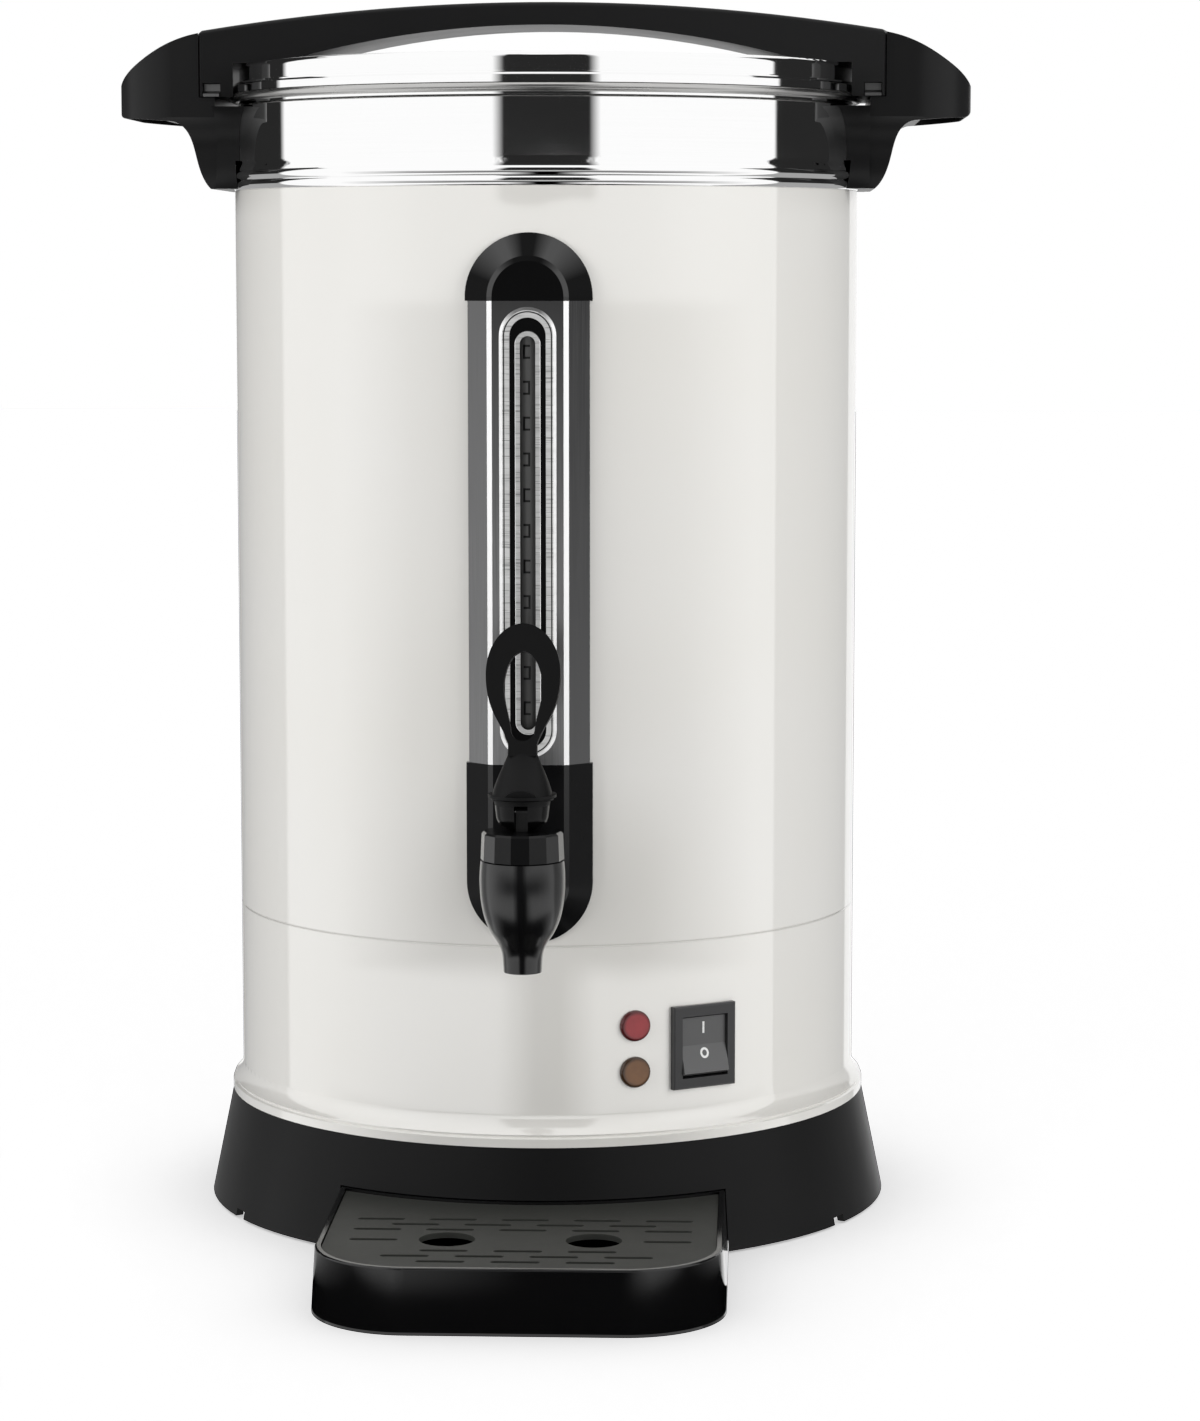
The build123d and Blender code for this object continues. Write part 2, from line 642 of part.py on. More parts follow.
with BuildPart() as tank:
    with BuildSketch(Plane.XZ) as tank_section:
        with BuildLine():
            inner_r = TANK_R - TANK_SHEET
            Polyline(
                (0, WELL_FLOOR),
                (WELL_R, WELL_FLOOR),
                (WELL_R, TANK_FLOOR),
                (inner_r, TANK_FLOOR),
                (inner_r, RIM_TOP),
                (RIM_BEAD_CENTRE, RIM_TOP),
                (RIM_BEAD_CENTRE, RIM_TOP - TANK_SHEET),
                (TANK_R, RIM_TOP - TANK_SHEET),
                (TANK_R, HEATER_FACE),
                (WELL_R + TANK_SHEET, HEATER_FACE),
                (WELL_R + TANK_SHEET, WELL_FLOOR - TANK_SHEET),
                (0, WELL_FLOOR - TANK_SHEET),
                close=True,
            )
        make_face()
        corner = tank_section.vertices().sort_by_distance(Vector(inner_r, TANK_FLOOR))[0]
        fillet(corner, TANK_CORNER_R - TANK_SHEET)
        corner = tank_section.vertices().sort_by_distance(Vector(TANK_R, HEATER_FACE))[0]
        fillet(corner, TANK_CORNER_R)
        with Locations((RIM_BEAD_CENTRE, RIM_TOP - RIM_BEAD_R)):
            Circle(RIM_BEAD_R)
    revolve(axis=Axis.Z)
    with BuildSketch(front_plane(WELL_R)):
        with Locations((0, TAP_Z)):
            Circle(SHANK_R + GAP)
    extrude(amount=BODY_R - WELL_R, mode=Mode.SUBTRACT)
tank.part.label = "tank"

# ------------------------------------------------------------------ heating
plate_low = HEATER_FACE - HEATER_PLATE_T
ring_z = plate_low - HEATER_TUBE_D / 2

with BuildPart() as heater_plate:
    with BuildSketch(Plane.XY.offset(plate_low)):
        Circle(HEATER_PLATE_R)
        Circle(WELL_R + TANK_SHEET + GAP, mode=Mode.SUBTRACT)
    extrude(amount=HEATER_PLATE_T)
heater_plate.part.label = "heater_plate"

with BuildPart() as heater_ring:
    with BuildSketch(Plane.XZ):
        with Locations((HEATER_RING_R, ring_z)):
            Circle(HEATER_TUBE_D / 2)
    revolve(axis=Axis.Z, revolution_arc=HEATER_ARC)
    with BuildSketch(Plane.XY.offset(ring_z)):
        with PolarLocations(HEATER_RING_R, 2, 0, HEATER_ARC, endpoint=True):
            Circle(HEATER_PIN_D / 2)
    extrude(amount=-HEATER_PIN_L)
heater_ring.part.label = "heater_ring"

with BuildPart() as thermostat:
    with BuildSketch(Plane.XY.offset(plate_low)):
        with Locations((0, SENSOR_R)):
            Circle(THERMOSTAT_D / 2)
    extrude(amount=-THERMOSTAT_H)
    with BuildSketch(Plane.XY.offset(plate_low - THERMOSTAT_H)):
        with Locations((0, SENSOR_R)):
            with GridLocations(THERMOSTAT_D / 2, 0, 2, 1):
                Rectangle(TERMINAL_T, TERMINAL_W)
    extrude(amount=-TERMINAL_L)
thermostat.part.label = "thermostat"

with BuildPart() as thermal_cutout:
    with BuildSketch(Plane.XY.offset(plate_low)):
        with Locations((0, -SENSOR_R)):
            Circle(THERMOSTAT_D / 2)
    extrude(amount=-THERMOSTAT_H / 2)
    with BuildSketch(Plane.XY.offset(plate_low - THERMOSTAT_H / 2)):
        with Locations((0, -SENSOR_R)):
            Circle(THERMOSTAT_D / 3)
    extrude(amount=-THERMOSTAT_H)
    with BuildSketch(Plane.XY.offset(plate_low - THERMOSTAT_H / 2)):
        with Locations((0, -SENSOR_R)):
            with GridLocations(THERMOSTAT_D - 2 * TERMINAL_T, 0, 2, 1):
                Rectangle(TERMINAL_T, TERMINAL_W)
    extrude(amount=-TERMINAL_L)
thermal_cutout.part.label = "thermal_cutout"

with BuildPart() as tie_rods:
    with BuildSketch(Plane.XY.offset(HEATER_FACE)):
        with PolarLocations(ROD_R, 3, 90):
            Circle(ROD_D / 2)
    extrude(amount=FOOT_H - NUT_H - HEATER_FACE)
tie_rods.part.label = "tie_rods"

with BuildPart() as tie_nuts:
    with BuildSketch(Plane.XY.offset(FOOT_H)):
        with PolarLocations(ROD_R, 3, 90):
            RegularPolygon(NUT_AF / 2, 6, major_radius=False)
            Circle(ROD_D / 2 + FIT, mode=Mode.SUBTRACT)
    extrude(amount=-NUT_H)
tie_nuts.part.label = "tie_nuts"

# ------------------------------------------------------------------ lid
with BuildPart() as lid:
    with BuildSketch(Plane.XZ):
        with BuildLine():
            step_top = RIM_TOP + LID_LIP_H + LID_STEP_H
            plug_r = TANK_R - TANK_SHEET - PLUG_CLEAR
            inner_skirt = LID_SKIRT_R - LID_SHEET
            edge_in = LID_EDGE_R - LID_SHEET
            crown = LID_TOP + LID_DOME_H
            outer_dome = ThreePointArc(
                (-LID_DOME_R, LID_TOP), (0, crown), (LID_DOME_R, LID_TOP), mode=Mode.PRIVATE
            )
            inner_dome = ThreePointArc(
                (-LID_DOME_R, LID_TOP - LID_SHEET),
                (0, crown - LID_SHEET),
                (LID_DOME_R, LID_TOP - LID_SHEET),
                mode=Mode.PRIVATE,
            )
            ThreePointArc((0, crown), outer_dome @ 0.75, (LID_DOME_R, LID_TOP))
            Line((LID_DOME_R, LID_TOP), (LID_SKIRT_R - LID_EDGE_R, LID_TOP))
            TangentArc(
                (LID_SKIRT_R - LID_EDGE_R, LID_TOP),
                (LID_SKIRT_R, LID_TOP - LID_EDGE_R),
                tangent=(1, 0),
            )
            Polyline(
                (LID_SKIRT_R, LID_TOP - LID_EDGE_R),
                (LID_SKIRT_R, step_top),
                (LID_LIP_R - 1.2, step_top - 0.4),
                (LID_LIP_R - 1.2, step_top - 0.9),
                (LID_LIP_R, RIM_TOP + LID_LIP_H - 0.4),
                (LID_LIP_R, RIM_TOP),
                (plug_r, RIM_TOP),
                (plug_r, RIM_TOP - PLUG_DEPTH),
                (plug_r - LID_SHEET, RIM_TOP - PLUG_DEPTH),
                (plug_r - LID_SHEET, RIM_TOP + LID_SHEET),
                (inner_skirt, RIM_TOP + LID_SHEET),
                (inner_skirt, LID_TOP - LID_EDGE_R),
            )
            TangentArc(
                (inner_skirt, LID_TOP - LID_EDGE_R),
                (inner_skirt - edge_in, LID_TOP - LID_SHEET),
                tangent=(0, 1),
            )
            Line((inner_skirt - edge_in, LID_TOP - LID_SHEET), (LID_DOME_R, LID_TOP - LID_SHEET))
            ThreePointArc((LID_DOME_R, LID_TOP - LID_SHEET), inner_dome @ 0.75, (0, crown - LID_SHEET))
            Line((0, crown - LID_SHEET), (0, crown))
        make_face()
    revolve(axis=Axis.Z)
    with BuildSketch(Plane.XY.offset(LID_TOP)):
        with GridLocations(2 * LID_SCREW_X, 2 * LID_SCREW_Y, 2, 2):
            Circle(LID_SCREW_D / 2 + PANEL_GAP)
    extrude(amount=-2 * LID_SHEET, mode=Mode.SUBTRACT)
lid.part.label = "lid"

arch_low = COLLAR_TOP + ARCH_SKIRT_UP
crown_z = LID_TOP + ARCH_TOP_UP
arch_reach = ARCH_END_R + ARCH_EDGE_R
arch_end_drop = ARCH_TOP_RADIUS - sqrt(ARCH_TOP_RADIUS**2 - arch_reach**2)
under_rise = crown_z - ARCH_T - LID_TOP
arch_foot_x = sqrt(ARCH_UNDER_RADIUS**2 - (ARCH_UNDER_RADIUS - under_rise) ** 2)
lid_envelope_r = BODY_R + RIM_OUT + GAP
tab_x = BODY_R + TAB_OUT

with BuildPart() as lid_handle:
    with BuildSketch(Plane.XZ):
        with BuildLine():
            ThreePointArc(
                (-arch_reach, crown_z - arch_end_drop), (0, crown_z), (arch_reach, crown_z - arch_end_drop)
            )
            Polyline(
                (arch_reach, crown_z - arch_end_drop),
                (arch_reach, arch_low),
                (arch_foot_x, arch_low),
                (arch_foot_x, LID_TOP),
            )
            ThreePointArc((arch_foot_x, LID_TOP), (0, crown_z - ARCH_T), (-arch_foot_x, LID_TOP))
            Polyline(
                (-arch_foot_x, LID_TOP),
                (-arch_foot_x, arch_low),
                (-arch_reach, arch_low),
                (-arch_reach, crown_z - arch_end_drop),
            )
        make_face()
    extrude(amount=ARCH_END_W, both=True)
    # plan outline: waisted sides, ends round about the urn's axis
    with BuildSketch(Plane.XY.offset(arch_low)):
        with BuildLine():
            end_x = sqrt(ARCH_END_R**2 - ARCH_END_W**2 / 4)
            ThreePointArc((-end_x, -ARCH_END_W / 2), (0, -ARCH_MID_W / 2), (end_x, -ARCH_END_W / 2))
            ThreePointArc((end_x, -ARCH_END_W / 2), (ARCH_END_R, 0), (end_x, ARCH_END_W / 2))
            ThreePointArc((end_x, ARCH_END_W / 2), (0, ARCH_MID_W / 2), (-end_x, ARCH_END_W / 2))
            ThreePointArc((-end_x, ARCH_END_W / 2), (-ARCH_END_R, 0), (-end_x, -ARCH_END_W / 2))
        make_face()
    extrude(amount=crown_z - arch_low, mode=Mode.INTERSECT)
    fillet(lid_handle.faces().sort_by(Axis.Z)[-1].edges(), ARCH_EDGE_R)
    # room for the lid's edge, pockets for the lock tabs, and the screws' pilot holes
    with BuildSketch(Plane.XY.offset(LID_TOP)):
        Circle(lid_envelope_r)
    extrude(amount=-(LID_TOP - arch_low) - 1, mode=Mode.SUBTRACT)
    with BuildSketch(Plane.XY.offset(arch_low)):
        with GridLocations(2 * tab_x, ARCH_END_W, 2, 2):
            Rectangle(TAB_W + 2 * GAP, 2 * TAB_DEPTH)
    extrude(amount=TAB_H + GAP, mode=Mode.SUBTRACT)
    with BuildSketch(Plane.XY.offset(LID_TOP)):
        with GridLocations(2 * LID_SCREW_X, 2 * LID_SCREW_Y, 2, 2):
            Circle(LID_SCREW_D / 2 + FIT)
    extrude(amount=LID_SCREW_L, mode=Mode.SUBTRACT)
lid_handle.part.label = "lid_handle"

with BuildPart() as lid_screws:
    with BuildSketch(Plane.XY.offset(LID_TOP - LID_SHEET)):
        with GridLocations(2 * LID_SCREW_X, 2 * LID_SCREW_Y, 2, 2):
            Circle(LID_SCREW_D / 2)
    extrude(amount=LID_SCREW_L)
    with BuildSketch(Plane.XY.offset(LID_TOP - LID_SHEET)):
        with GridLocations(2 * LID_SCREW_X, 2 * LID_SCREW_Y, 2, 2):
            Circle(LID_HEAD_D / 2)
    extrude(amount=-LID_HEAD_H)
lid_screws.part.label = "lid_screws"

with BuildPart() as lock_tabs:
    # folded steel tabs: a leg against the end block and a foot turned outwards
    tab_back = ARCH_END_W / 2 - TAB_DEPTH
    for side in (-1, 1):
        with BuildSketch(Plane.YZ.offset(side * tab_x)):
            for front in (-1, 1):
                with BuildLine():
                    Polyline(
                        (front * tab_back, arch_low + TAB_H),
                        (front * (tab_back + TAB_T), arch_low + TAB_H),
                        (front * (tab_back + TAB_T), arch_low + 2 * TAB_T),
                        (front * (tab_back + TAB_DEPTH), arch_low + TAB_T),
                        (front * (tab_back + TAB_DEPTH), arch_low),
                        (front * tab_back, arch_low),
                        close=True,
                    )
                make_face()
        extrude(amount=TAB_W / 2, both=True)
lock_tabs.part.label = "lock_tabs"

# ------------------------------------------------------------------ side grips
toe_z = JACKET_TOP + 0.4
step_z = COLLAR_TOP + ARCH_SKIRT_UP - GAP
grip_in_r = ARCH_END_R + GAP + 0.1
grip_start_x = sqrt(grip_in_r**2 - GRIP_W**2 / 4)
tip_top = COLLAR_TOP + GRIP_TIP_UP
under_z = COLLAR_TOP + GRIP_UNDER_UP
tip_r = tip_top - GRIP_TIP_H - under_z
grip_top = COLLAR_TOP + GRIP_TOP_UP
screw_mid_z = COLLAR_TOP - HANDLE_SCREW_DOWN


def waisted_outline(top_w, waist_w, toe_w, z_low, z_mid, z_high):
    """Closed outline on the YZ plane with sides that draw in towards the middle."""
    ThreePointArc((-toe_w / 2, z_low), (-waist_w / 2, z_mid), (-top_w / 2, z_high))
    Line((-top_w / 2, z_high), (top_w / 2, z_high))
    ThreePointArc((top_w / 2, z_high), (waist_w / 2, z_mid), (toe_w / 2, z_low))
    Line((toe_w / 2, z_low), (-toe_w / 2, z_low))


with BuildPart() as handle_right:
    with BuildSketch(Plane.XZ):
        with BuildLine():
            Polyline(
                (GRIP_SEAM_X, toe_z),
                (GRIP_SEAM_X, step_z),
                (grip_start_x, step_z),
                (grip_start_x, grip_top),
            )
            Spline(
                (grip_start_x, grip_top),
                (GRIP_SHOULDER_X, COLLAR_TOP + GRIP_SHOULDER_UP),
                (GRIP_REACH, tip_top),
                tangents=((1, -0.18), (0.6, -1)),
            )
            Line((GRIP_REACH, tip_top), (GRIP_REACH, under_z + tip_r))
            TangentArc((GRIP_REACH, under_z + tip_r), (GRIP_REACH - tip_r, under_z), tangent=(0, -1))
            Line((GRIP_REACH - tip_r, under_z), (GRIP_COLUMN_X, under_z - 1.5))
            Spline(
                (GRIP_COLUMN_X, under_z - 1.5),
                (GRIP_COLUMN_MID_X, JACKET_TOP + COLLAR_H / 3),
                (GRIP_TOE_X, toe_z),
                tangents=((-1, -0.2), (-0.75, -0.66)),
            )
            Line((GRIP_TOE_X, toe_z), (GRIP_SEAM_X, toe_z))
        make_face()
    extrude(amount=GRIP_W / 2, both=True)
    # plan outline with rounded outer corners
    with BuildSketch(Plane.XY.offset(toe_z)) as grip_plan:
        with Locations((GRIP_REACH / 2, 0)):
            Rectangle(GRIP_REACH, GRIP_W)
        fillet(grip_plan.vertices().group_by(Axis.X)[-1], GRIP_CORNER_R)
    extrude(amount=grip_top - toe_z, mode=Mode.INTERSECT)
    # waisted column under the wing
    with BuildSketch(Plane.YZ.offset(GRIP_SEAM_X)):
        with BuildLine():
            waisted_outline(GRIP_W, GRIP_WAIST_W, GRIP_TOE_W, toe_z, (toe_z + under_z) / 2, under_z)
        make_face()
        with Locations((0, (under_z + grip_top) / 2)):
            Rectangle(GRIP_W, grip_top - under_z)
    extrude(amount=GRIP_REACH - GRIP_SEAM_X, mode=Mode.INTERSECT)
    # hollow in the wing's underside
    with BuildSketch(Plane.XY.offset(under_z - GRIP_HOLLOW_UP)) as hollow_plan:
        with Locations(((GRIP_COLUMN_X + GRIP_REACH) / 2, 0)):
            Rectangle(GRIP_REACH - GRIP_COLUMN_X - 2 * GRIP_WALL, GRIP_W - 2 * GRIP_WALL)
        fillet(hollow_plan.vertices().group_by(Axis.X)[-1], GRIP_CORNER_R - 3 * GRIP_WALL)
    extrude(amount=2 * GRIP_HOLLOW_UP, mode=Mode.SUBTRACT)
    # round face beside the lid's arch
    with BuildSketch(Plane.XY.offset(step_z)):
        Circle(grip_in_r)
    extrude(amount=grip_top - step_z, mode=Mode.SUBTRACT)
    with BuildSketch(radial_plane(90, GRIP_SEAM_X, screw_mid_z)):
        with GridLocations(0, HANDLE_SCREW_PITCH, 1, 2):
            Circle(HANDLE_SCREW_D / 2 + FIT)
    extrude(amount=HANDLE_SCREW_L - (GRIP_SEAM_X - COLLAR_R), mode=Mode.SUBTRACT)
handle_right.part.label = "handle_right"

with BuildPart() as handle_left:
    mirror(handle_right.part, about=Plane.YZ)
handle_left.part.label = "handle_left"

with BuildPart() as bracket_right:
    bracket_top = COLLAR_TOP - BRACKET_TOP_DOWN
    with BuildSketch(Plane.YZ.offset(GRIP_SEAM_X)):
        with BuildLine():
            waisted_outline(
                BRACKET_TOP_W, BRACKET_WAIST_W, BRACKET_TOE_W, toe_z, (toe_z + bracket_top) / 2, bracket_top
            )
        make_face()
    extrude(amount=-GRIP_SEAM_X / 4)
    with BuildSketch(Plane.XY.offset(toe_z)):
        Circle(BODY_R - 0.2 + COLLAR_BEAD_OUT + FIT)
    extrude(amount=2 * COLLAR_BEAD_H + COLLAR_COVE_H, mode=Mode.SUBTRACT)
    with BuildSketch(Plane.XY.offset(toe_z)):
        Circle(COLLAR_R + FIT)
    extrude(amount=COLLAR_H, mode=Mode.SUBTRACT)
    with BuildSketch(radial_plane(90, TANK_R, screw_mid_z)):
        with GridLocations(0, HANDLE_SCREW_PITCH, 1, 2):
            Circle(HANDLE_SCREW_D / 2 + FIT)
    extrude(amount=GRIP_REACH - TANK_R, mode=Mode.SUBTRACT)
bracket_right.part.label = "bracket_right"

with BuildPart() as bracket_left:
    mirror(bracket_right.part, about=Plane.YZ)
bracket_left.part.label = "bracket_left"

with BuildPart() as handle_screws:
    head_face = COLLAR_R - COLLAR_SHEET - 0.1
    for side in (-90, 90):
        with BuildSketch(radial_plane(side, head_face, screw_mid_z)):
            with GridLocations(0, HANDLE_SCREW_PITCH, 1, 2):
                Circle(HANDLE_SCREW_D / 2)
        extrude(amount=HANDLE_SCREW_L)
        with BuildSketch(radial_plane(side, head_face, screw_mid_z)):
            with GridLocations(0, HANDLE_SCREW_PITCH, 1, 2):
                Circle(HANDLE_HEAD_D / 2)
        extrude(amount=-HANDLE_HEAD_H)
handle_screws.part.label = "handle_screws"


# ------------------------------------------------------------------ gauge housing
def housing_points(half_w):
    """Corners of the faceted section: flat front, narrow bevels and slanted sides."""
    side_y = -BODY_R - FACET_END
    right = [
        (FRONT_HALF_W, -HOUSING_FRONT),
        (FRONT_HALF_W + BEVEL_W, -HOUSING_FRONT + BEVEL_D),
        (half_w, side_y),
        (half_w, -TANK_R),
    ]
    return right + [(-x, y) for x, y in reversed(right)]


def housing_form(z_low, z_high, half_w, inset=0.0, round_z=None):
    """Solid of one stretch of the housing, with a half-round end about round_z."""
    with BuildPart() as form:
        with BuildSketch(Plane.XY.offset(z_low)):
            with BuildLine():
                Polyline(*housing_points(half_w), close=True)
            make_face()
            if inset:
                offset(amount=-inset, kind=Kind.INTERSECTION, mode=Mode.REPLACE)
        extrude(amount=z_high - z_low)
        if round_z is not None:
            with BuildSketch(Plane.XY.offset(round_z)):
                with BuildLine():
                    Polyline(*housing_points(half_w), close=True)
                make_face()
                if inset:
                    offset(amount=-inset, kind=Kind.INTERSECTION, mode=Mode.REPLACE)
                split(bisect_by=Plane.YZ)
            revolve(axis=Axis((0, 0, round_z), (0, 1, 0)), revolution_arc=360)
    return form.part


with BuildPart() as jacket_envelope:
    with BuildSketch():
        Circle(BODY_R + FIT)
    extrude(amount=COLLAR_TOP)

lower_z = TAP_Z - LOWER_ROUND_DOWN
lower_outer = housing_form(lower_z, SHIELD_LOW, HOUSING_HALF_W, round_z=lower_z)
lower_inner = housing_form(lower_z, SHIELD_LOW, HOUSING_HALF_W, HOUSING_WALL, lower_z)
cap_z = SHIELD_TOP + CAP_RISE
cap_outer = housing_form(SHIELD_TOP, cap_z, HOUSING_HALF_W, round_z=cap_z)
cap_inner = housing_form(SHIELD_TOP, cap_z, HOUSING_HALF_W, HOUSING_WALL, cap_z)
shield_outer = housing_form(SHIELD_LOW, SHIELD_TOP, SHIELD_HALF_W)
shield_inner = housing_form(SHIELD_LOW, SHIELD_TOP, SHIELD_HALF_W, SHIELD_SHEET)

with BuildPart() as gauge_lower_housing:
    add(lower_outer)
    add(lower_inner, mode=Mode.SUBTRACT)
    add(jacket_envelope.part, mode=Mode.SUBTRACT)
    split(bisect_by=Plane.XY.offset(SHIELD_LOW), keep=Keep.BOTTOM)
    with BuildSketch(front_plane(BODY_R)):
        with Locations((0, TAP_Z)):
            Circle(SHANK_R + GAP)
    extrude(amount=HOUSING_PROUD + 1, mode=Mode.SUBTRACT)
gauge_lower_housing.part.label = "gauge_lower_housing"

with BuildPart() as gauge_cap:
    add(cap_outer)
    add(cap_inner, mode=Mode.SUBTRACT)
    add(jacket_envelope.part, mode=Mode.SUBTRACT)
    split(bisect_by=Plane.XY.offset(SHIELD_TOP), keep=Keep.TOP)
gauge_cap.part.label = "gauge_cap"

with BuildPart() as gauge_shield:
    add(shield_outer)
    add(shield_inner, mode=Mode.SUBTRACT)
    add(jacket_envelope.part, mode=Mode.SUBTRACT)
    with BuildSketch(front_plane(BODY_R, FRAME_MID)):
        SlotOverall(FRAME_H + 2 * FIT, 2 * (SLOT_R + FIT), rotation=90)
    extrude(amount=HOUSING_PROUD + 1, mode=Mode.SUBTRACT)
gauge_shield.part.label = "gauge_shield"

with BuildPart() as gauge_frame:
    with BuildSketch(front_plane(HOUSING_FRONT + FRAME_PROUD, FRAME_MID)):
        SlotOverall(FRAME_H, 2 * SLOT_R, rotation=90)
    extrude(amount=-FRAME_T)
    front_rim = gauge_frame.faces().sort_by(Axis.Y)[0].edges()
    chamfer(front_rim, length=FRAME_PROUD, length2=FRAME_BEVEL)
    groove_edge = FRAME_BEAD_W + FRAME_GROOVE_W
    with BuildSketch(front_plane(HOUSING_FRONT + FRAME_PROUD, FRAME_MID)):
        SlotOverall(FRAME_H - 2 * FRAME_BEAD_W, 2 * (SLOT_R - FRAME_BEAD_W), rotation=90)
        SlotOverall(FRAME_H - 2 * groove_edge, 2 * (SLOT_R - groove_edge), rotation=90, mode=Mode.SUBTRACT)
    extrude(amount=-FRAME_GROOVE_D, mode=Mode.SUBTRACT)
    with BuildSketch(front_plane(HOUSING_FRONT + FRAME_PROUD, FRAME_MID)):
        SlotOverall(CHANNEL_H + 2 * FIT, 2 * (CHANNEL_R + FIT), rotation=90)
    extrude(amount=-FRAME_T, mode=Mode.SUBTRACT)
gauge_frame.part.label = "gauge_frame"

with BuildPart() as gauge_channel:
    channel_depth = TUBE_BACK + TUBE_R + GAP + CHANNEL_REAR
    with BuildSketch(front_plane(HOUSING_FRONT, FRAME_MID)):
        SlotOverall(CHANNEL_H, 2 * CHANNEL_R, rotation=90)
    extrude(amount=-channel_depth)
    with BuildSketch(front_plane(HOUSING_FRONT, FRAME_MID)):
        SlotOverall(WINDOW_H, 2 * WINDOW_R, rotation=90)
    extrude(amount=-TUBE_BACK, mode=Mode.SUBTRACT)
    with BuildSketch(Plane.XY.offset(FRAME_MID - CHANNEL_H / 2)):
        with Locations((0, -TUBE_Y)):
            Circle(TUBE_R + GAP)
    extrude(amount=CHANNEL_H, mode=Mode.SUBTRACT)
gauge_channel.part.label = "gauge_channel"

with BuildPart() as gauge_rim:
    with BuildSketch(front_plane(HOUSING_FRONT, FRAME_MID)):
        SlotOverall(SIGHT_RIM_H, 2 * SIGHT_RIM_R, rotation=90)
    extrude(amount=SIGHT_RIM_T)
    chamfer(gauge_rim.faces().sort_by(Axis.Y)[0].edges(), length=SIGHT_RIM_T / 2)
    with BuildSketch(front_plane(HOUSING_FRONT, FRAME_MID)):
        SlotOverall(WINDOW_H, 2 * WINDOW_R, rotation=90)
    extrude(amount=SIGHT_RIM_T, mode=Mode.SUBTRACT)
gauge_rim.part.label = "gauge_rim"

tee_top = TAP_Z + TEE_UP
tube_low = tee_top - TUBE_SOCKET

with BuildPart() as gauge_tube:
    with BuildSketch(Plane.XY.offset(tube_low)):
        with Locations((0, -TUBE_Y)):
            Circle(TUBE_R)
            Circle(TUBE_R - TUBE_WALL, mode=Mode.SUBTRACT)
    extrude(amount=tube_top - tube_low)
gauge_tube.part.label = "gauge_tube"

with BuildPart() as gauge_seals:
    with BuildSketch(Plane.XY.offset(tee_top)):
        with Locations((0, -TUBE_Y)):
            Circle(TUBE_R + TUBE_SEAL_T)
            Circle(TUBE_R + FIT, mode=Mode.SUBTRACT)
    extrude(amount=TUBE_SEAL_H)
    with BuildSketch(Plane.XY.offset(tube_top - TUBE_SEAL_H)):
        with Locations((0, -TUBE_Y)):
            Circle(TUBE_R + TUBE_SEAL_T)
    extrude(amount=TUBE_SEAL_H + TUBE_PLUG_H)
    with BuildSketch(Plane.XY.offset(tube_top - TUBE_SEAL_H)):
        with Locations((0, -TUBE_Y)):
            Circle(TUBE_R + FIT)
    extrude(amount=TUBE_SEAL_H, mode=Mode.SUBTRACT)
gauge_seals.part.label = "gauge_seals"

# ------------------------------------------------------------------ tap
boss_end = TAP_Y - SHANK_BOSS_L
shank_out = boss_end + SHANK_SOCKET
tank_inner = TANK_R - TANK_SHEET
shank_in = tank_inner - SHANK_INSIDE
washer_face = tank_inner - INNER_WASHER_T
escutcheon_back = HOUSING_FRONT + WASHER_T

with BuildPart() as tap_shank:
    with BuildSketch(front_plane(shank_in)):
        with Locations((0, TAP_Z)):
            Circle(SHANK_R)
    extrude(amount=shank_out - shank_in)
    with BuildSketch(front_plane(escutcheon_back)):
        with Locations((0, TAP_Z)):
            Circle(ESCUTCHEON_R)
    extrude(amount=ESCUTCHEON_T)
    # upright tee that feeds the gauge tube
    with BuildSketch(Plane.XY.offset(TAP_Z)):
        with Locations((0, -TUBE_Y)):
            Circle(TEE_R)
    extrude(amount=TEE_UP)
    with BuildSketch(front_plane(shank_in)):
        with Locations((0, TAP_Z)):
            Circle(SHANK_BORE_R)
    extrude(amount=shank_out - shank_in, mode=Mode.SUBTRACT)
    with BuildSketch(Plane.XY.offset(TAP_Z)):
        with Locations((0, -TUBE_Y)):
            Circle(TEE_BORE_R)
    extrude(amount=TEE_UP, mode=Mode.SUBTRACT)
    with BuildSketch(Plane.XY.offset(tube_low)):
        with Locations((0, -TUBE_Y)):
            Circle(TUBE_R + FIT)
    extrude(amount=TUBE_SOCKET, mode=Mode.SUBTRACT)
tap_shank.part.label = "tap_shank"

with BuildPart() as tap_washers:
    with BuildSketch(front_plane(washer_face)):
        with Locations((0, TAP_Z)):
            Circle(INNER_WASHER_R)
            Circle(SHANK_R + FIT, mode=Mode.SUBTRACT)
    extrude(amount=INNER_WASHER_T + 1)
    # the inner washer's back follows the tank wall
    with BuildSketch(Plane.XY.offset(TAP_Z - INNER_WASHER_R)):
        Circle(tank_inner)
    extrude(amount=2 * INNER_WASHER_R, mode=Mode.INTERSECT)
    with BuildSketch(front_plane(HOUSING_FRONT)):
        with Locations((0, TAP_Z)):
            Circle(ESCUTCHEON_R)
            Circle(SHANK_R + FIT, mode=Mode.SUBTRACT)
    extrude(amount=WASHER_T)
tap_washers.part.label = "tap_washers"

with BuildPart() as tap_nut:
    with BuildSketch(front_plane(washer_face)):
        with Locations((0, TAP_Z)):
            RegularPolygon(SHANK_NUT_AF / 2, 6, major_radius=False)
            Circle(SHANK_R + FIT, mode=Mode.SUBTRACT)
    extrude(amount=-SHANK_NUT_H)
tap_nut.part.label = "tap_nut"

tap_axis_plane = Plane.XZ.offset(TAP_Y)
tap_axis = Axis((0, -TAP_Y, 0), (0, 0, 1))
spout_z = TAP_Z - SPOUT_DROP

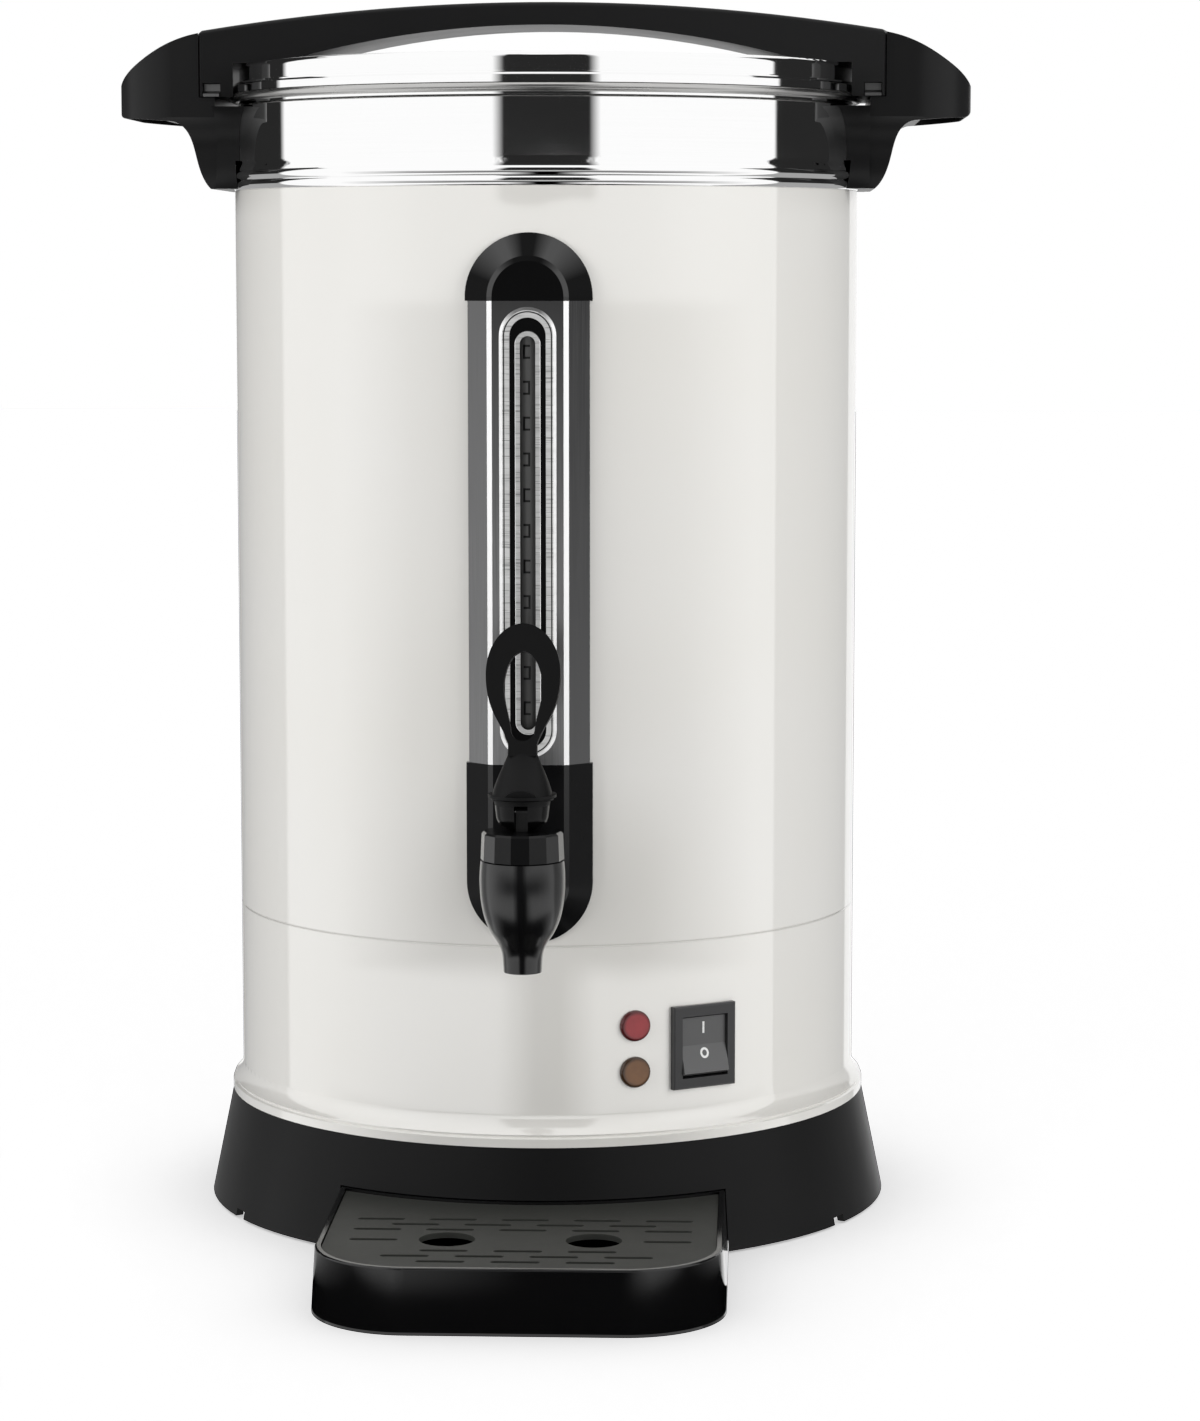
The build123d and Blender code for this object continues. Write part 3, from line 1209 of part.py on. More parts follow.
with BuildPart() as tap_body:
    with BuildSketch(tap_axis_plane):
        with BuildLine():
            spout_top = spout_z + 5.0
            Line((SPOUT_R, spout_z), (SPOUT_R + 0.3, spout_top))
            Spline(
                (SPOUT_R + 0.3, spout_top),
                (0.72 * BARREL_R, TAP_Z - 0.49 * SPOUT_DROP),
                (BARREL_R, TAP_Z + BARREL_MID_UP),
                tangents=((0.05, 1), (0, 1)),
            )
            Spline(
                (BARREL_R, TAP_Z + BARREL_MID_UP),
                (BARREL_TOP_R, BARREL_TOP),
                tangents=((0, 1), (-0.12, 1)),
            )
            Polyline((BARREL_TOP_R, BARREL_TOP), (0, BARREL_TOP), (0, spout_z), (SPOUT_R, spout_z))
        make_face()
    revolve(axis=tap_axis)
    with BuildSketch(front_plane(boss_end)):
        with Locations((0, TAP_Z)):
            Circle(SHANK_BOSS_R)
    extrude(amount=SHANK_BOSS_L)
    with BuildSketch(tap_axis_plane):
        with BuildLine():
            Polyline(
                (0, spout_z),
                (SPOUT_BORE_R, spout_z),
                (SPOUT_BORE_R, SEAT_Z),
                (BARREL_BORE_R, SEAT_Z),
                (BARREL_BORE_R, BARREL_TOP),
                (0, BARREL_TOP),
                close=True,
            )
        make_face()
    revolve(axis=tap_axis, mode=Mode.SUBTRACT)
    with BuildSketch(front_plane(boss_end)):
        with Locations((0, TAP_Z)):
            Circle(SHANK_R + FIT)
    extrude(amount=SHANK_SOCKET, mode=Mode.SUBTRACT)
    with BuildSketch(front_plane(boss_end)):
        with Locations((0, TAP_Z)):
            Circle(SHANK_BORE_R)
    extrude(amount=SHANK_BOSS_L, mode=Mode.SUBTRACT)
tap_body.part.label = "tap_body"

with BuildPart() as tap_bonnet:
    with BuildSketch(Plane.XY.offset(BARREL_TOP)):
        with Locations((0, -TAP_Y)):
            RegularPolygon(BONNET_R, BONNET_SIDES)
    extrude(amount=BONNET_H, taper=BONNET_TAPER)
    chamfer(tap_bonnet.faces().sort_by(Axis.Z)[-1].edges(), length=0.8)
    chamfer(tap_bonnet.faces().sort_by(Axis.Z)[0].edges(), length=0.5)
    with BuildSketch(Plane.XY.offset(BARREL_TOP)):
        with Locations((0, -TAP_Y)):
            Circle(BARREL_BORE_R - FIT)
    extrude(amount=-BONNET_SPIGOT)
    with BuildSketch(Plane.XY.offset(BARREL_TOP - BONNET_SPIGOT)):
        with Locations((0, -TAP_Y)):
            Circle(BONNET_CHAMBER_R)
    extrude(amount=BONNET_SPIGOT + BONNET_H - BONNET_PLATE_T, mode=Mode.SUBTRACT)
    with BuildSketch(Plane.XY.offset(BARREL_TOP)):
        with Locations((0, -TAP_Y)):
            Circle(STEM_R + FIT)
    extrude(amount=BONNET_H, mode=Mode.SUBTRACT)
tap_bonnet.part.label = "tap_bonnet"

flange_z = SEAT_Z + CUP_T
blade_low = BONNET_TOP + 0.2

with BuildPart() as tap_stem:
    with BuildSketch(Plane.XY.offset(flange_z)):
        with Locations((0, -TAP_Y)):
            Circle(STEM_R)
    extrude(amount=blade_low - flange_z)
    with BuildSketch(Plane.XY.offset(flange_z)):
        with Locations((0, -TAP_Y)):
            Circle(STEM_FLANGE_R)
    extrude(amount=STEM_FLANGE_T)
    with BuildSketch(Plane.XY.offset(flange_z)):
        with Locations((0, -TAP_Y)):
            Circle(STEM_BULB_R)
    extrude(amount=-STEM_BULB_H)
    # flat blade with a round head about the hinge pin
    with BuildSketch(Plane.YZ):
        with Locations((-TAP_Y, (blade_low + PIVOT_Z) / 2)):
            Rectangle(STEM_BLADE_D, PIVOT_Z - blade_low)
        with Locations((-TAP_Y, PIVOT_Z)):
            Circle(STEM_BLADE_D / 2)
            Circle(PIVOT_PIN_R + FIT, mode=Mode.SUBTRACT)
    extrude(amount=STEM_BLADE_W / 2, both=True)
tap_stem.part.label = "tap_stem"

with BuildPart() as tap_seat_cup:
    with BuildSketch(Plane.XY.offset(SEAT_Z)):
        with Locations((0, -TAP_Y)):
            Circle(CUP_R)
    extrude(amount=CUP_T)
    with BuildSketch(Plane.XY.offset(flange_z)):
        with Locations((0, -TAP_Y)):
            Circle(STEM_BULB_R + FIT)
    extrude(amount=-STEM_BULB_H - FIT, mode=Mode.SUBTRACT)
tap_seat_cup.part.label = "tap_seat_cup"

spring_low = flange_z + STEM_FLANGE_T + SPRING_WIRE_R + FIT
spring_high = BONNET_TOP - BONNET_PLATE_T - SPRING_WIRE_R - FIT

with BuildPart() as tap_spring:
    with BuildLine():
        coil = Helix(
            pitch=(spring_high - spring_low) / SPRING_TURNS,
            height=spring_high - spring_low,
            radius=SPRING_R,
            center=(0, -TAP_Y, spring_low),
        )
    with BuildSketch(Plane(origin=coil @ 0, z_dir=coil % 0)):
        Circle(SPRING_WIRE_R)
    sweep(path=coil, is_frenet=True)
tap_spring.part.label = "tap_spring"

# ------------------------------------------------------------------ tap lever
lean = radians(LEVER_LEAN)
lever_plane = Plane(
    origin=(0, -TAP_Y, PIVOT_Z),
    x_dir=(1, 0, 0),
    z_dir=(0, -cos(lean), sin(lean)),
)
hub_low = BONNET_TOP + GAP
hub_top = hub_low + HUB_H


def lever_section(up):
    """Plane across the lever at a distance along it from the hinge pin."""
    return Plane(
        origin=lever_plane.from_local_coords((0, up, 0)),
        x_dir=(1, 0, 0),
        z_dir=(0, sin(lean), cos(lean)),
    )


with BuildPart() as tap_lever:
    # round hub with a cam foot, and the saucer above it
    with BuildSketch(tap_axis_plane) as hub_section:
        with BuildLine():
            Polyline(
                (0, hub_low),
                (HUB_BOTTOM_R, hub_low),
                (HUB_TOP_R, hub_top),
                (SAUCER_R, hub_top + SAUCER_RISE - SAUCER_T),
                (SAUCER_R, hub_top + SAUCER_RISE),
                (HUB_TOP_R, hub_top + SAUCER_T),
                (0, hub_top + SAUCER_T),
                close=True,
            )
        make_face()
        foot = hub_section.vertices().sort_by_distance(Vector(HUB_BOTTOM_R, hub_low))[0]
        fillet(foot, HUB_ROUND)
    revolve(axis=tap_axis)
    # bell that draws in from the saucer to the neck
    with BuildSketch(Plane.XY.offset(hub_top)):
        with Locations((0, -TAP_Y)):
            Circle(LEVER_BASE_R)
    with BuildSketch(Plane.XY.offset(hub_top + 0.4 * LEVER_BASE_H)):
        with Locations((0, -TAP_Y + 0.4 * LEVER_BASE_H * tan(lean))):
            Ellipse(0.85 * LEVER_BASE_R, 0.74 * LEVER_BASE_R)
    with BuildSketch(lever_section(LEVER_NECK_UP - 0.2 * LEVER_BASE_H)):
        Ellipse(0.67 * LEVER_NECK_W, 0.8 * LEVER_T)
    with BuildSketch(lever_section(LEVER_NECK_UP + LEVER_NECK_H / 4)):
        Ellipse(LEVER_NECK_W / 2, LEVER_T / 2)
    loft()
    # loop with a teardrop eye
    with BuildSketch(lever_plane):
        with BuildLine():
            neck_top = LEVER_NECK_UP + LEVER_NECK_H
            Line((LEVER_NECK_W / 2, LEVER_NECK_UP), (LEVER_NECK_W / 2, neck_top))
            Spline(
                (LEVER_NECK_W / 2, neck_top),
                (LOOP_SIDE_W / 2, LOOP_SIDE_UP),
                (LOOP_W / 2, LOOP_MID_UP),
                tangents=((0.3, 1), (0, 1)),
            )
            EllipticalCenterArc(
                (0, LOOP_MID_UP), LOOP_W / 2, LOOP_TOP_UP - LOOP_MID_UP, start_angle=0, arc_size=LOOP_ARC
            )
            Spline(
                (-LOOP_W / 2, LOOP_MID_UP),
                (-LOOP_SIDE_W / 2, LOOP_SIDE_UP),
                (-LEVER_NECK_W / 2, neck_top),
                tangents=((0, -1), (0.3, -1)),
            )
            Line((-LEVER_NECK_W / 2, neck_top), (-LEVER_NECK_W / 2, LEVER_NECK_UP))
            Line((-LEVER_NECK_W / 2, LEVER_NECK_UP), (LEVER_NECK_W / 2, LEVER_NECK_UP))
        make_face()
        with BuildLine():
            Spline(
                (EYE_LOW_R, EYE_LOW_UP + EYE_LOW_R),
                (EYE_W / 2, EYE_MID_UP),
                tangents=((0.12, 1), (0, 1)),
            )
            EllipticalCenterArc(
                (0, EYE_MID_UP), EYE_W / 2, EYE_TOP_UP - EYE_MID_UP, start_angle=0, arc_size=LOOP_ARC
            )
            Spline(
                (-EYE_W / 2, EYE_MID_UP),
                (-EYE_LOW_R, EYE_LOW_UP + EYE_LOW_R),
                tangents=((0, -1), (0.12, -1)),
            )
            ThreePointArc(
                (-EYE_LOW_R, EYE_LOW_UP + EYE_LOW_R), (0, EYE_LOW_UP), (EYE_LOW_R, EYE_LOW_UP + EYE_LOW_R)
            )
        make_face(mode=Mode.SUBTRACT)
    extrude(amount=LEVER_T / 2, both=True)
    with BuildSketch(front_plane(TAP_Y, hub_top + SAUCER_T)):
        Ellipse(PAD_W / 2, PAD_H)
        with Locations((0, PAD_H / 2)):
            Rectangle(PAD_W, PAD_H, mode=Mode.INTERSECT)
    extrude(amount=PAD_OUT)
    # fork for the stem's blade, open in front where the blade swings, and the hinge pin's hole
    blade_room = STEM_BLADE_D / 2 + GAP
    with BuildSketch(Plane.YZ):
        with Locations((-TAP_Y, PIVOT_Z)):
            Circle(blade_room)
            with Locations((0, -PIVOT_UP / 2)):
                Rectangle(2 * HUB_TOP_R, PIVOT_UP)
            with Locations((-HUB_TOP_R / 2, blade_room / 2)):
                Rectangle(HUB_TOP_R, blade_room)
    extrude(amount=HUB_SLOT_W / 2, both=True, mode=Mode.SUBTRACT)
    with BuildSketch(Plane.YZ):
        with Locations((-TAP_Y, PIVOT_Z)):
            Circle(PIVOT_PIN_R + FIT)
    extrude(amount=PIVOT_PIN_L / 2, both=True, mode=Mode.SUBTRACT)
tap_lever.part.label = "tap_lever"

with BuildPart() as tap_pivot_pin:
    with BuildSketch(Plane.YZ):
        with Locations((-TAP_Y, PIVOT_Z)):
            Circle(PIVOT_PIN_R)
    extrude(amount=PIVOT_PIN_L / 2, both=True)
tap_pivot_pin.part.label = "tap_pivot_pin"

# ------------------------------------------------------------------ switch, lamps, inlet
with BuildPart() as switch_housing:
    with BuildSketch(switch_plane.offset(SWITCH_PROUD)):
        Rectangle(SWITCH_W, SWITCH_H)
    extrude(amount=-2 * SWITCH_PROUD)
    chamfer(switch_housing.faces().sort_by(Axis(switch_plane.origin, switch_plane.z_dir))[-1].edges(), 0.6)
    add(jacket_envelope.part, mode=Mode.SUBTRACT)
    with BuildSketch(switch_plane):
        Rectangle(SWITCH_BODY_W, SWITCH_BODY_H)
    extrude(amount=-SWITCH_BODY_D)
    with BuildSketch(switch_plane.offset(SWITCH_PROUD)):
        Rectangle(ROCKER_W + 2 * ROCKER_CLEAR, 2 * (ROCKER_R + ROCKER_CLEAR))
    extrude(amount=-(SWITCH_PROUD + SWITCH_BODY_D - SWITCH_WALL), mode=Mode.SUBTRACT)
    # pivot holes in the side walls
    with BuildSketch(Plane(switch_plane.offset(-ROCKER_PIVOT_IN).origin, z_dir=switch_plane.x_dir)):
        Circle(ROCKER_PIN_R + FIT)
    extrude(amount=SWITCH_BODY_W / 2, both=True, mode=Mode.SUBTRACT)
switch_housing.part.label = "switch_housing"

tilt = radians(ROCKER_TILT)
rocker_plane = Plane(
    origin=switch_plane.offset(-ROCKER_PIVOT_IN).origin,
    x_dir=switch_plane.z_dir * cos(tilt) + Vector(0, 0, 1) * sin(tilt),
    z_dir=-switch_plane.x_dir,
)
rocker_face = ROCKER_PIVOT_IN + ROCKER_FACE_OUT

with BuildPart() as switch_rocker:
    with BuildSketch(rocker_plane):
        Circle(ROCKER_R)
        with BuildLine():
            # two faces that meet in a shallow valley over the pivot
            rise = 2 * ROCKER_R * tan(tilt)
            Polyline(
                (rocker_face, 0),
                (rocker_face + rise, 2 * ROCKER_R),
                (4 * ROCKER_R, 0),
                (rocker_face + rise, -2 * ROCKER_R),
                close=True,
            )
        make_face(mode=Mode.SUBTRACT)
    extrude(amount=ROCKER_W / 2, both=True)
    with BuildSketch(rocker_plane):
        Circle(ROCKER_PIN_R)
    extrude(amount=SWITCH_BODY_W / 2 - FIT, both=True)
switch_rocker.part.label = "switch_rocker"


def pilot_lamp(lamp_plane):
    """Lens with a rounded front and a round body through the jacket."""
    with BuildPart() as lamp:
        with BuildSketch(lamp_plane.offset(LAMP_PROUD)):
            Circle(LAMP_R)
        extrude(amount=-2 * LAMP_PROUD)
        fillet(lamp.faces().sort_by(Axis(lamp_plane.origin, lamp_plane.z_dir))[-1].edges(), 0.7 * LAMP_PROUD)
        add(jacket_envelope.part, mode=Mode.SUBTRACT)
        with BuildSketch(lamp_plane.offset(LAMP_PROUD / 4)):
            Circle(LAMP_BODY_R)
        extrude(amount=-LAMP_BODY_D)
    return lamp


lamp_red = pilot_lamp(red_plane)
lamp_red.part.label = "lamp_red"
lamp_amber = pilot_lamp(amber_plane)
lamp_amber.part.label = "lamp_amber"

with BuildPart() as lamp_clips:
    clip_face = sqrt((BODY_R - JACKET_SHEET) ** 2 - CLIP_R**2) - FIT
    for lamp_plane in (red_plane, amber_plane):
        with BuildSketch(lamp_plane.offset(clip_face - BODY_R)):
            Circle(CLIP_R)
            Circle(LAMP_BODY_R + FIT, mode=Mode.SUBTRACT)
        extrude(amount=-CLIP_T)
lamp_clips.part.label = "lamp_clips"

with BuildPart() as power_inlet:
    with BuildSketch(inlet_plane.offset(INLET_PROUD)):
        Rectangle(INLET_W, INLET_H)
    extrude(amount=-2 * INLET_PROUD)
    add(jacket_envelope.part, mode=Mode.SUBTRACT)
    with BuildSketch(inlet_plane.offset(INLET_PROUD)):
        Rectangle(INLET_BODY_W, INLET_BODY_H)
    extrude(amount=-INLET_BODY_D - INLET_PROUD)
    with BuildSketch(inlet_plane.offset(INLET_PROUD)):
        RectangleRounded(INLET_CAVITY_W, INLET_CAVITY_H, 3)
    extrude(amount=-INLET_CAVITY_D, mode=Mode.SUBTRACT)
power_inlet.part.label = "power_inlet"

with BuildPart() as inlet_pins:
    with BuildSketch(inlet_plane.offset(INLET_PROUD - INLET_CAVITY_D)):
        with Locations((-INLET_PIN_PITCH, -INLET_PIN_DROP), (INLET_PIN_PITCH, -INLET_PIN_DROP)):
            Rectangle(INLET_PIN_W, INLET_PIN_H)
        with Locations((0, INLET_PIN_DROP)):
            Rectangle(INLET_PIN_W, INLET_PIN_H)
    extrude(amount=INLET_PIN_L)
inlet_pins.part.label = "inlet_pins"

# ------------------------------------------------------------------ pump tube and basket
collar_z = WELL_FLOOR + BASKET_UP
basket_top = collar_z + BASKET_H

with BuildPart() as pump_tube:
    with BuildSketch(Plane.XZ):
        with BuildLine():
            Polyline(
                (PUMP_BORE_R, WELL_FLOOR + PUMP_BASE_H),
                (PUMP_BORE_R, WELL_FLOOR + PUMP_H),
                (PUMP_R, WELL_FLOOR + PUMP_H),
                (PUMP_R, collar_z),
                (PUMP_COLLAR_R, collar_z),
                (PUMP_COLLAR_R, collar_z - PUMP_COLLAR_H / 2),
                (PUMP_R, collar_z - PUMP_COLLAR_H),
                (PUMP_R, WELL_FLOOR + PUMP_BASE_H),
                (PUMP_BASE_R, WELL_FLOOR + 2),
                (PUMP_BASE_R, WELL_FLOOR),
                (PUMP_BASE_R - 1, WELL_FLOOR),
                (PUMP_BASE_R - 1, WELL_FLOOR + 1.5),
                close=True,
            )
        make_face()
    revolve(axis=Axis.Z)
pump_tube.part.label = "pump_tube"

with BuildPart() as coffee_basket:
    with BuildSketch(Plane.XZ):
        with BuildLine():
            bore_r = PUMP_R + GAP
            Polyline(
                (bore_r, collar_z),
                (BASKET_R, collar_z),
                (BASKET_R, basket_top - BASKET_SHEET),
                (BASKET_R + BASKET_RIM, basket_top - BASKET_SHEET),
                (BASKET_R + BASKET_RIM, basket_top),
                (BASKET_R - BASKET_SHEET, basket_top),
                (BASKET_R - BASKET_SHEET, collar_z + BASKET_SHEET),
                (bore_r + BASKET_SHEET, collar_z + BASKET_SHEET),
                (bore_r + BASKET_SHEET, collar_z + BASKET_H / 6),
                (bore_r, collar_z + BASKET_H / 6),
                close=True,
            )
        make_face()
    revolve(axis=Axis.Z)
    with BuildSketch(Plane.XY.offset(collar_z)):
        for ring in (1.0, 0.62):
            with PolarLocations(ring * BASKET_HOLE_RING, round(ring * BASKET_HOLES)):
                Circle(BASKET_HOLE_D / 2)
    extrude(amount=BASKET_SHEET, mode=Mode.SUBTRACT)
coffee_basket.part.label = "coffee_basket"

with BuildPart() as basket_cover:
    with BuildSketch(Plane.XZ):
        with BuildLine():
            rim_r = BASKET_R + BASKET_RIM
            bore_r = PUMP_R + GAP
            Polyline(
                (rim_r, basket_top),
                (rim_r, basket_top + COVER_T + COVER_RISE),
                (rim_r - COVER_T, basket_top + COVER_T + COVER_RISE),
                (rim_r - COVER_T, basket_top + COVER_T),
                (bore_r, basket_top + COVER_T),
                (bore_r, basket_top),
                close=True,
            )
        make_face()
    revolve(axis=Axis.Z)
    with BuildSketch(Plane.XY.offset(basket_top)):
        with PolarLocations(COVER_HOLE_RING, COVER_HOLES):
            Circle(BASKET_HOLE_D / 2)
    extrude(amount=COVER_T, mode=Mode.SUBTRACT)
basket_cover.part.label = "basket_cover"


# ------------------------------------------------------------------ drip tray
def tray_plan(inset, back):
    """Plan drawn in from the tray's rim: straight sides and back, large round front corners."""
    half_w = TRAY_HALF_W - inset
    front = -TRAY_FRONT + inset
    rear = -back
    radius = TRAY_CORNER_R - inset
    with BuildSketch() as plan:
        with BuildLine():
            Line((-half_w, rear), (-half_w, front + radius))
            TangentArc((-half_w, front + radius), (-half_w + radius, front), tangent=(0, -1))
            Line((-half_w + radius, front), (half_w - radius, front))
            TangentArc((half_w - radius, front), (half_w, front + radius), tangent=(1, 0))
            Line((half_w, front + radius), (half_w, rear))
            Line((half_w, rear), (-half_w, rear))
        make_face()
    return plan.sketch


cover_top = TRAY_H - COVER_RECESS
cover_low = cover_top - COVER_PLATE_T
cover_back = skirt_radius(POCKET_TOP) + COVER_CLEAR

with BuildPart() as drip_tray:
    with BuildSketch():
        add(tray_plan(-TRAY_DRAFT, TRAY_REAR))
    extrude(amount=TRAY_H, taper=degrees(atan(TRAY_DRAFT / TRAY_H)))
    front_rim = drip_tray.faces().sort_by(Axis.Z)[-1].edges().filter_by(lambda edge: edge.center().Y < -BODY_R)
    fillet(front_rim, 0.8)
    # basin, then the opening inside the ledge and the cover's recess
    basin_back = TRAY_REAR + TRAY_DRAFT + TRAY_WALL
    with BuildSketch(Plane.XY.offset(TRAY_FLOOR)):
        add(tray_plan(TRAY_WALL, basin_back))
    extrude(amount=cover_low - LEDGE_H - TRAY_FLOOR, mode=Mode.SUBTRACT)
    with BuildSketch(Plane.XY.offset(TRAY_FLOOR)):
        add(tray_plan(TRAY_WALL + LEDGE_W, basin_back))
        Circle(cover_back + LEDGE_W, mode=Mode.SUBTRACT)
    extrude(amount=TRAY_H - TRAY_FLOOR, mode=Mode.SUBTRACT)
    with BuildSketch(Plane.XY.offset(cover_low)):
        add(tray_plan(TRAY_WALL, basin_back))
        Circle(cover_back, mode=Mode.SUBTRACT)
    extrude(amount=TRAY_H - cover_low, mode=Mode.SUBTRACT)
drip_tray.part.label = "drip_tray"

with BuildPart() as drip_cover:
    with BuildSketch(Plane.XY.offset(cover_low)):
        add(tray_plan(TRAY_WALL + GAP, basin_back))
        Circle(cover_back + GAP, mode=Mode.SUBTRACT)
        with Locations((-FINGER_X, -TRAY_FRONT + FINGER_BACK), (FINGER_X, -TRAY_FRONT + FINGER_BACK)):
            Circle(FINGER_D / 2, mode=Mode.SUBTRACT)
        # staggered rows of drain slots; the middle row only beside the finger holes
        for row, count, skipped in ((0, 3, 0), (1, 4, 0), (2, 3, 0), (4, 5, 2), (6, 5, 0), (7, 4, 0), (8, 5, 0)):
            row_y = -TRAY_FRONT + DRAIN_FRONT + row * DRAIN_ROW
            for index in range(count):
                slot_x = (index - (count - 1) / 2) * DRAIN_PITCH
                if abs(slot_x) >= skipped * DRAIN_PITCH:
                    with Locations((slot_x, row_y)):
                        SlotOverall(DRAIN_L, DRAIN_W, mode=Mode.SUBTRACT)
    extrude(amount=COVER_PLATE_T)
drip_cover.part.label = "drip_cover"

# ------------------------------------------------------------------ files
pieces = [
    base_skirt, base_plate, rubber_feet, base_screws, lower_jacket, upper_jacket, collar, tank,
    heater_plate, heater_ring, thermostat, thermal_cutout, tie_rods, tie_nuts,
    lid, lid_handle, lid_screws, lock_tabs,
    handle_right, handle_left, bracket_right, bracket_left, handle_screws,
    gauge_lower_housing, gauge_cap, gauge_shield, gauge_frame, gauge_channel, gauge_rim, gauge_tube,
    gauge_seals,
    tap_shank, tap_washers, tap_nut, tap_body, tap_bonnet, tap_stem, tap_seat_cup, tap_spring,
    tap_lever, tap_pivot_pin,
    switch_housing, switch_rocker, lamp_red, lamp_amber, lamp_clips, power_inlet, inlet_pins,
    pump_tube, coffee_basket, basket_cover, drip_tray, drip_cover,
]

os.makedirs("parts", exist_ok=True)
for piece in pieces:
    export_step(piece.part, f"parts/{piece.part.label}.step")
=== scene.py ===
"""Coffee urn: finishes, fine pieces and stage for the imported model."""

import math

import bmesh
import bpy
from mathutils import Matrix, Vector


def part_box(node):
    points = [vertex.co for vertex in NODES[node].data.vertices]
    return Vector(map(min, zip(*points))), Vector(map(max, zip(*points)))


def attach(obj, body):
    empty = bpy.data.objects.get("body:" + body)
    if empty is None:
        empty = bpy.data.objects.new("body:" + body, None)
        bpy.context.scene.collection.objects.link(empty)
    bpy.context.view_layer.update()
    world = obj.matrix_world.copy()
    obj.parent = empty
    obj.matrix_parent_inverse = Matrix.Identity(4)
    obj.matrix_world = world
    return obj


bl_info = {
    "name": "Coffee Urn",
    "version": (1, 0, 0),
    "blender": (4, 5, 0),
    "location": "View3D > Sidebar > Urn",
    "description": "Dresses the coffee urn: enamel, bright metal, mouldings, gauge, tap, switch and stage",
    "category": "Object",
}

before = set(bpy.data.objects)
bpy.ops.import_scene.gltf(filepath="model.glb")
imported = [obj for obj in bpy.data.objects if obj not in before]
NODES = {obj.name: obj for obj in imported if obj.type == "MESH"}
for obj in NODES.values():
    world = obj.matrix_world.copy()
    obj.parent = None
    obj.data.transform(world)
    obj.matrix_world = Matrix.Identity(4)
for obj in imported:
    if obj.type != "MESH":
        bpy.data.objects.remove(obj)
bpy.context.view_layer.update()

CAMERA_HEADING = math.radians(3.1)  # from the urn to the camera, towards +X
HUB_DEPTH = 0.0683  # from the top of the tap lever's loop down to its hub
FRAME_GROOVE = (0.0016, 0.0021)  # how far in from its edge the groove of the gauge's frame, painted dark as shade, starts and ends
BEVEL_FADE = (0.012, 0.040)  # above the lower housing's foot, where the gloss of its bevels comes in
SQUARE_ON = {"Low": 0.985, "High": 1.1}  # facing band of the faces that look straight ahead


# ---------------------------------------------------------------------------
# Sizes and colours a user would change
# ---------------------------------------------------------------------------

def colour_property(name, description, default):
    """A finish's colour, in linear light."""
    return bpy.props.FloatVectorProperty(
        name=name, description=description, default=default, size=3, min=0.0, max=1.0, subtype="COLOR"
    )


def length_property(name, description, default, low=0.0):
    """A length in metres."""
    return bpy.props.FloatProperty(
        name=name, description=description, default=default, min=low, unit="LENGTH", subtype="DISTANCE", precision=5
    )


def angle_property(name, description, degrees):
    """An angle, kept in radians."""
    return bpy.props.FloatProperty(
        name=name, description=description, default=math.radians(degrees), subtype="ANGLE", unit="ROTATION"
    )


class UrnFinishes(bpy.types.PropertyGroup):
    """Colours and gloss of the urn's finishes."""

    enamel: colour_property("Enamel", "Cream enamel of the two jackets", (0.78, 0.768, 0.738))
    bright: colour_property("Bright metal", "Polished collar, lid and gauge frame", (0.98, 0.98, 0.98))
    steel: colour_property("Brushed steel", "Tank, basket and plates", (0.56, 0.555, 0.545))
    shield: colour_property("Gauge shield", "Brushed shield of the gauge where it is brightest", (0.20, 0.20, 0.202))
    grip: colour_property("Grip black", "Moulded grips, brackets and lid handle", (0.0075, 0.0075, 0.0078))
    satin: colour_property("Satin front", "Scored fronts of the gauge's frame and rim", (0.60, 0.60, 0.595))
    skirt: colour_property("Base black", "Base skirt and inlet", (0.0040, 0.0040, 0.0042))
    housing: colour_property("Housing black", "Cap and lower housing of the gauge", (0.0014, 0.0014, 0.0015))
    tap_black: colour_property("Tap black", "Satin black of the tap's body", (0.004, 0.004, 0.0043))
    lever_black: colour_property("Lever black", "Matte black of the tap's lever", (0.0036, 0.0036, 0.0038))
    tray_black: colour_property("Tray black", "Glossy black of the drip tray", (0.003, 0.003, 0.0032))
    sight_tube: colour_property("Sight tube", "Smoked plastic of the gauge's tube", (0.14, 0.14, 0.138))
    tray_cover: colour_property("Tray cover", "Matte cover of the drip tray", (0.022, 0.023, 0.020))
    switch: colour_property("Switch", "Bezel of the rocker switch", (0.030, 0.030, 0.031))
    rocker: colour_property("Rocker", "Rocker of the switch", (0.085, 0.085, 0.086))
    red_lens: colour_property("Red lens", "Heating lamp lens", (0.30, 0.024, 0.030))
    amber_lens: colour_property("Amber lens", "Ready lamp lens", (0.165, 0.072, 0.024))
    enamel_coat: bpy.props.FloatProperty(
        name="Enamel coat", description="Weight of the clear gloss over the enamel", default=1.0, min=0.0, max=1.0,
        subtype="FACTOR"
    )


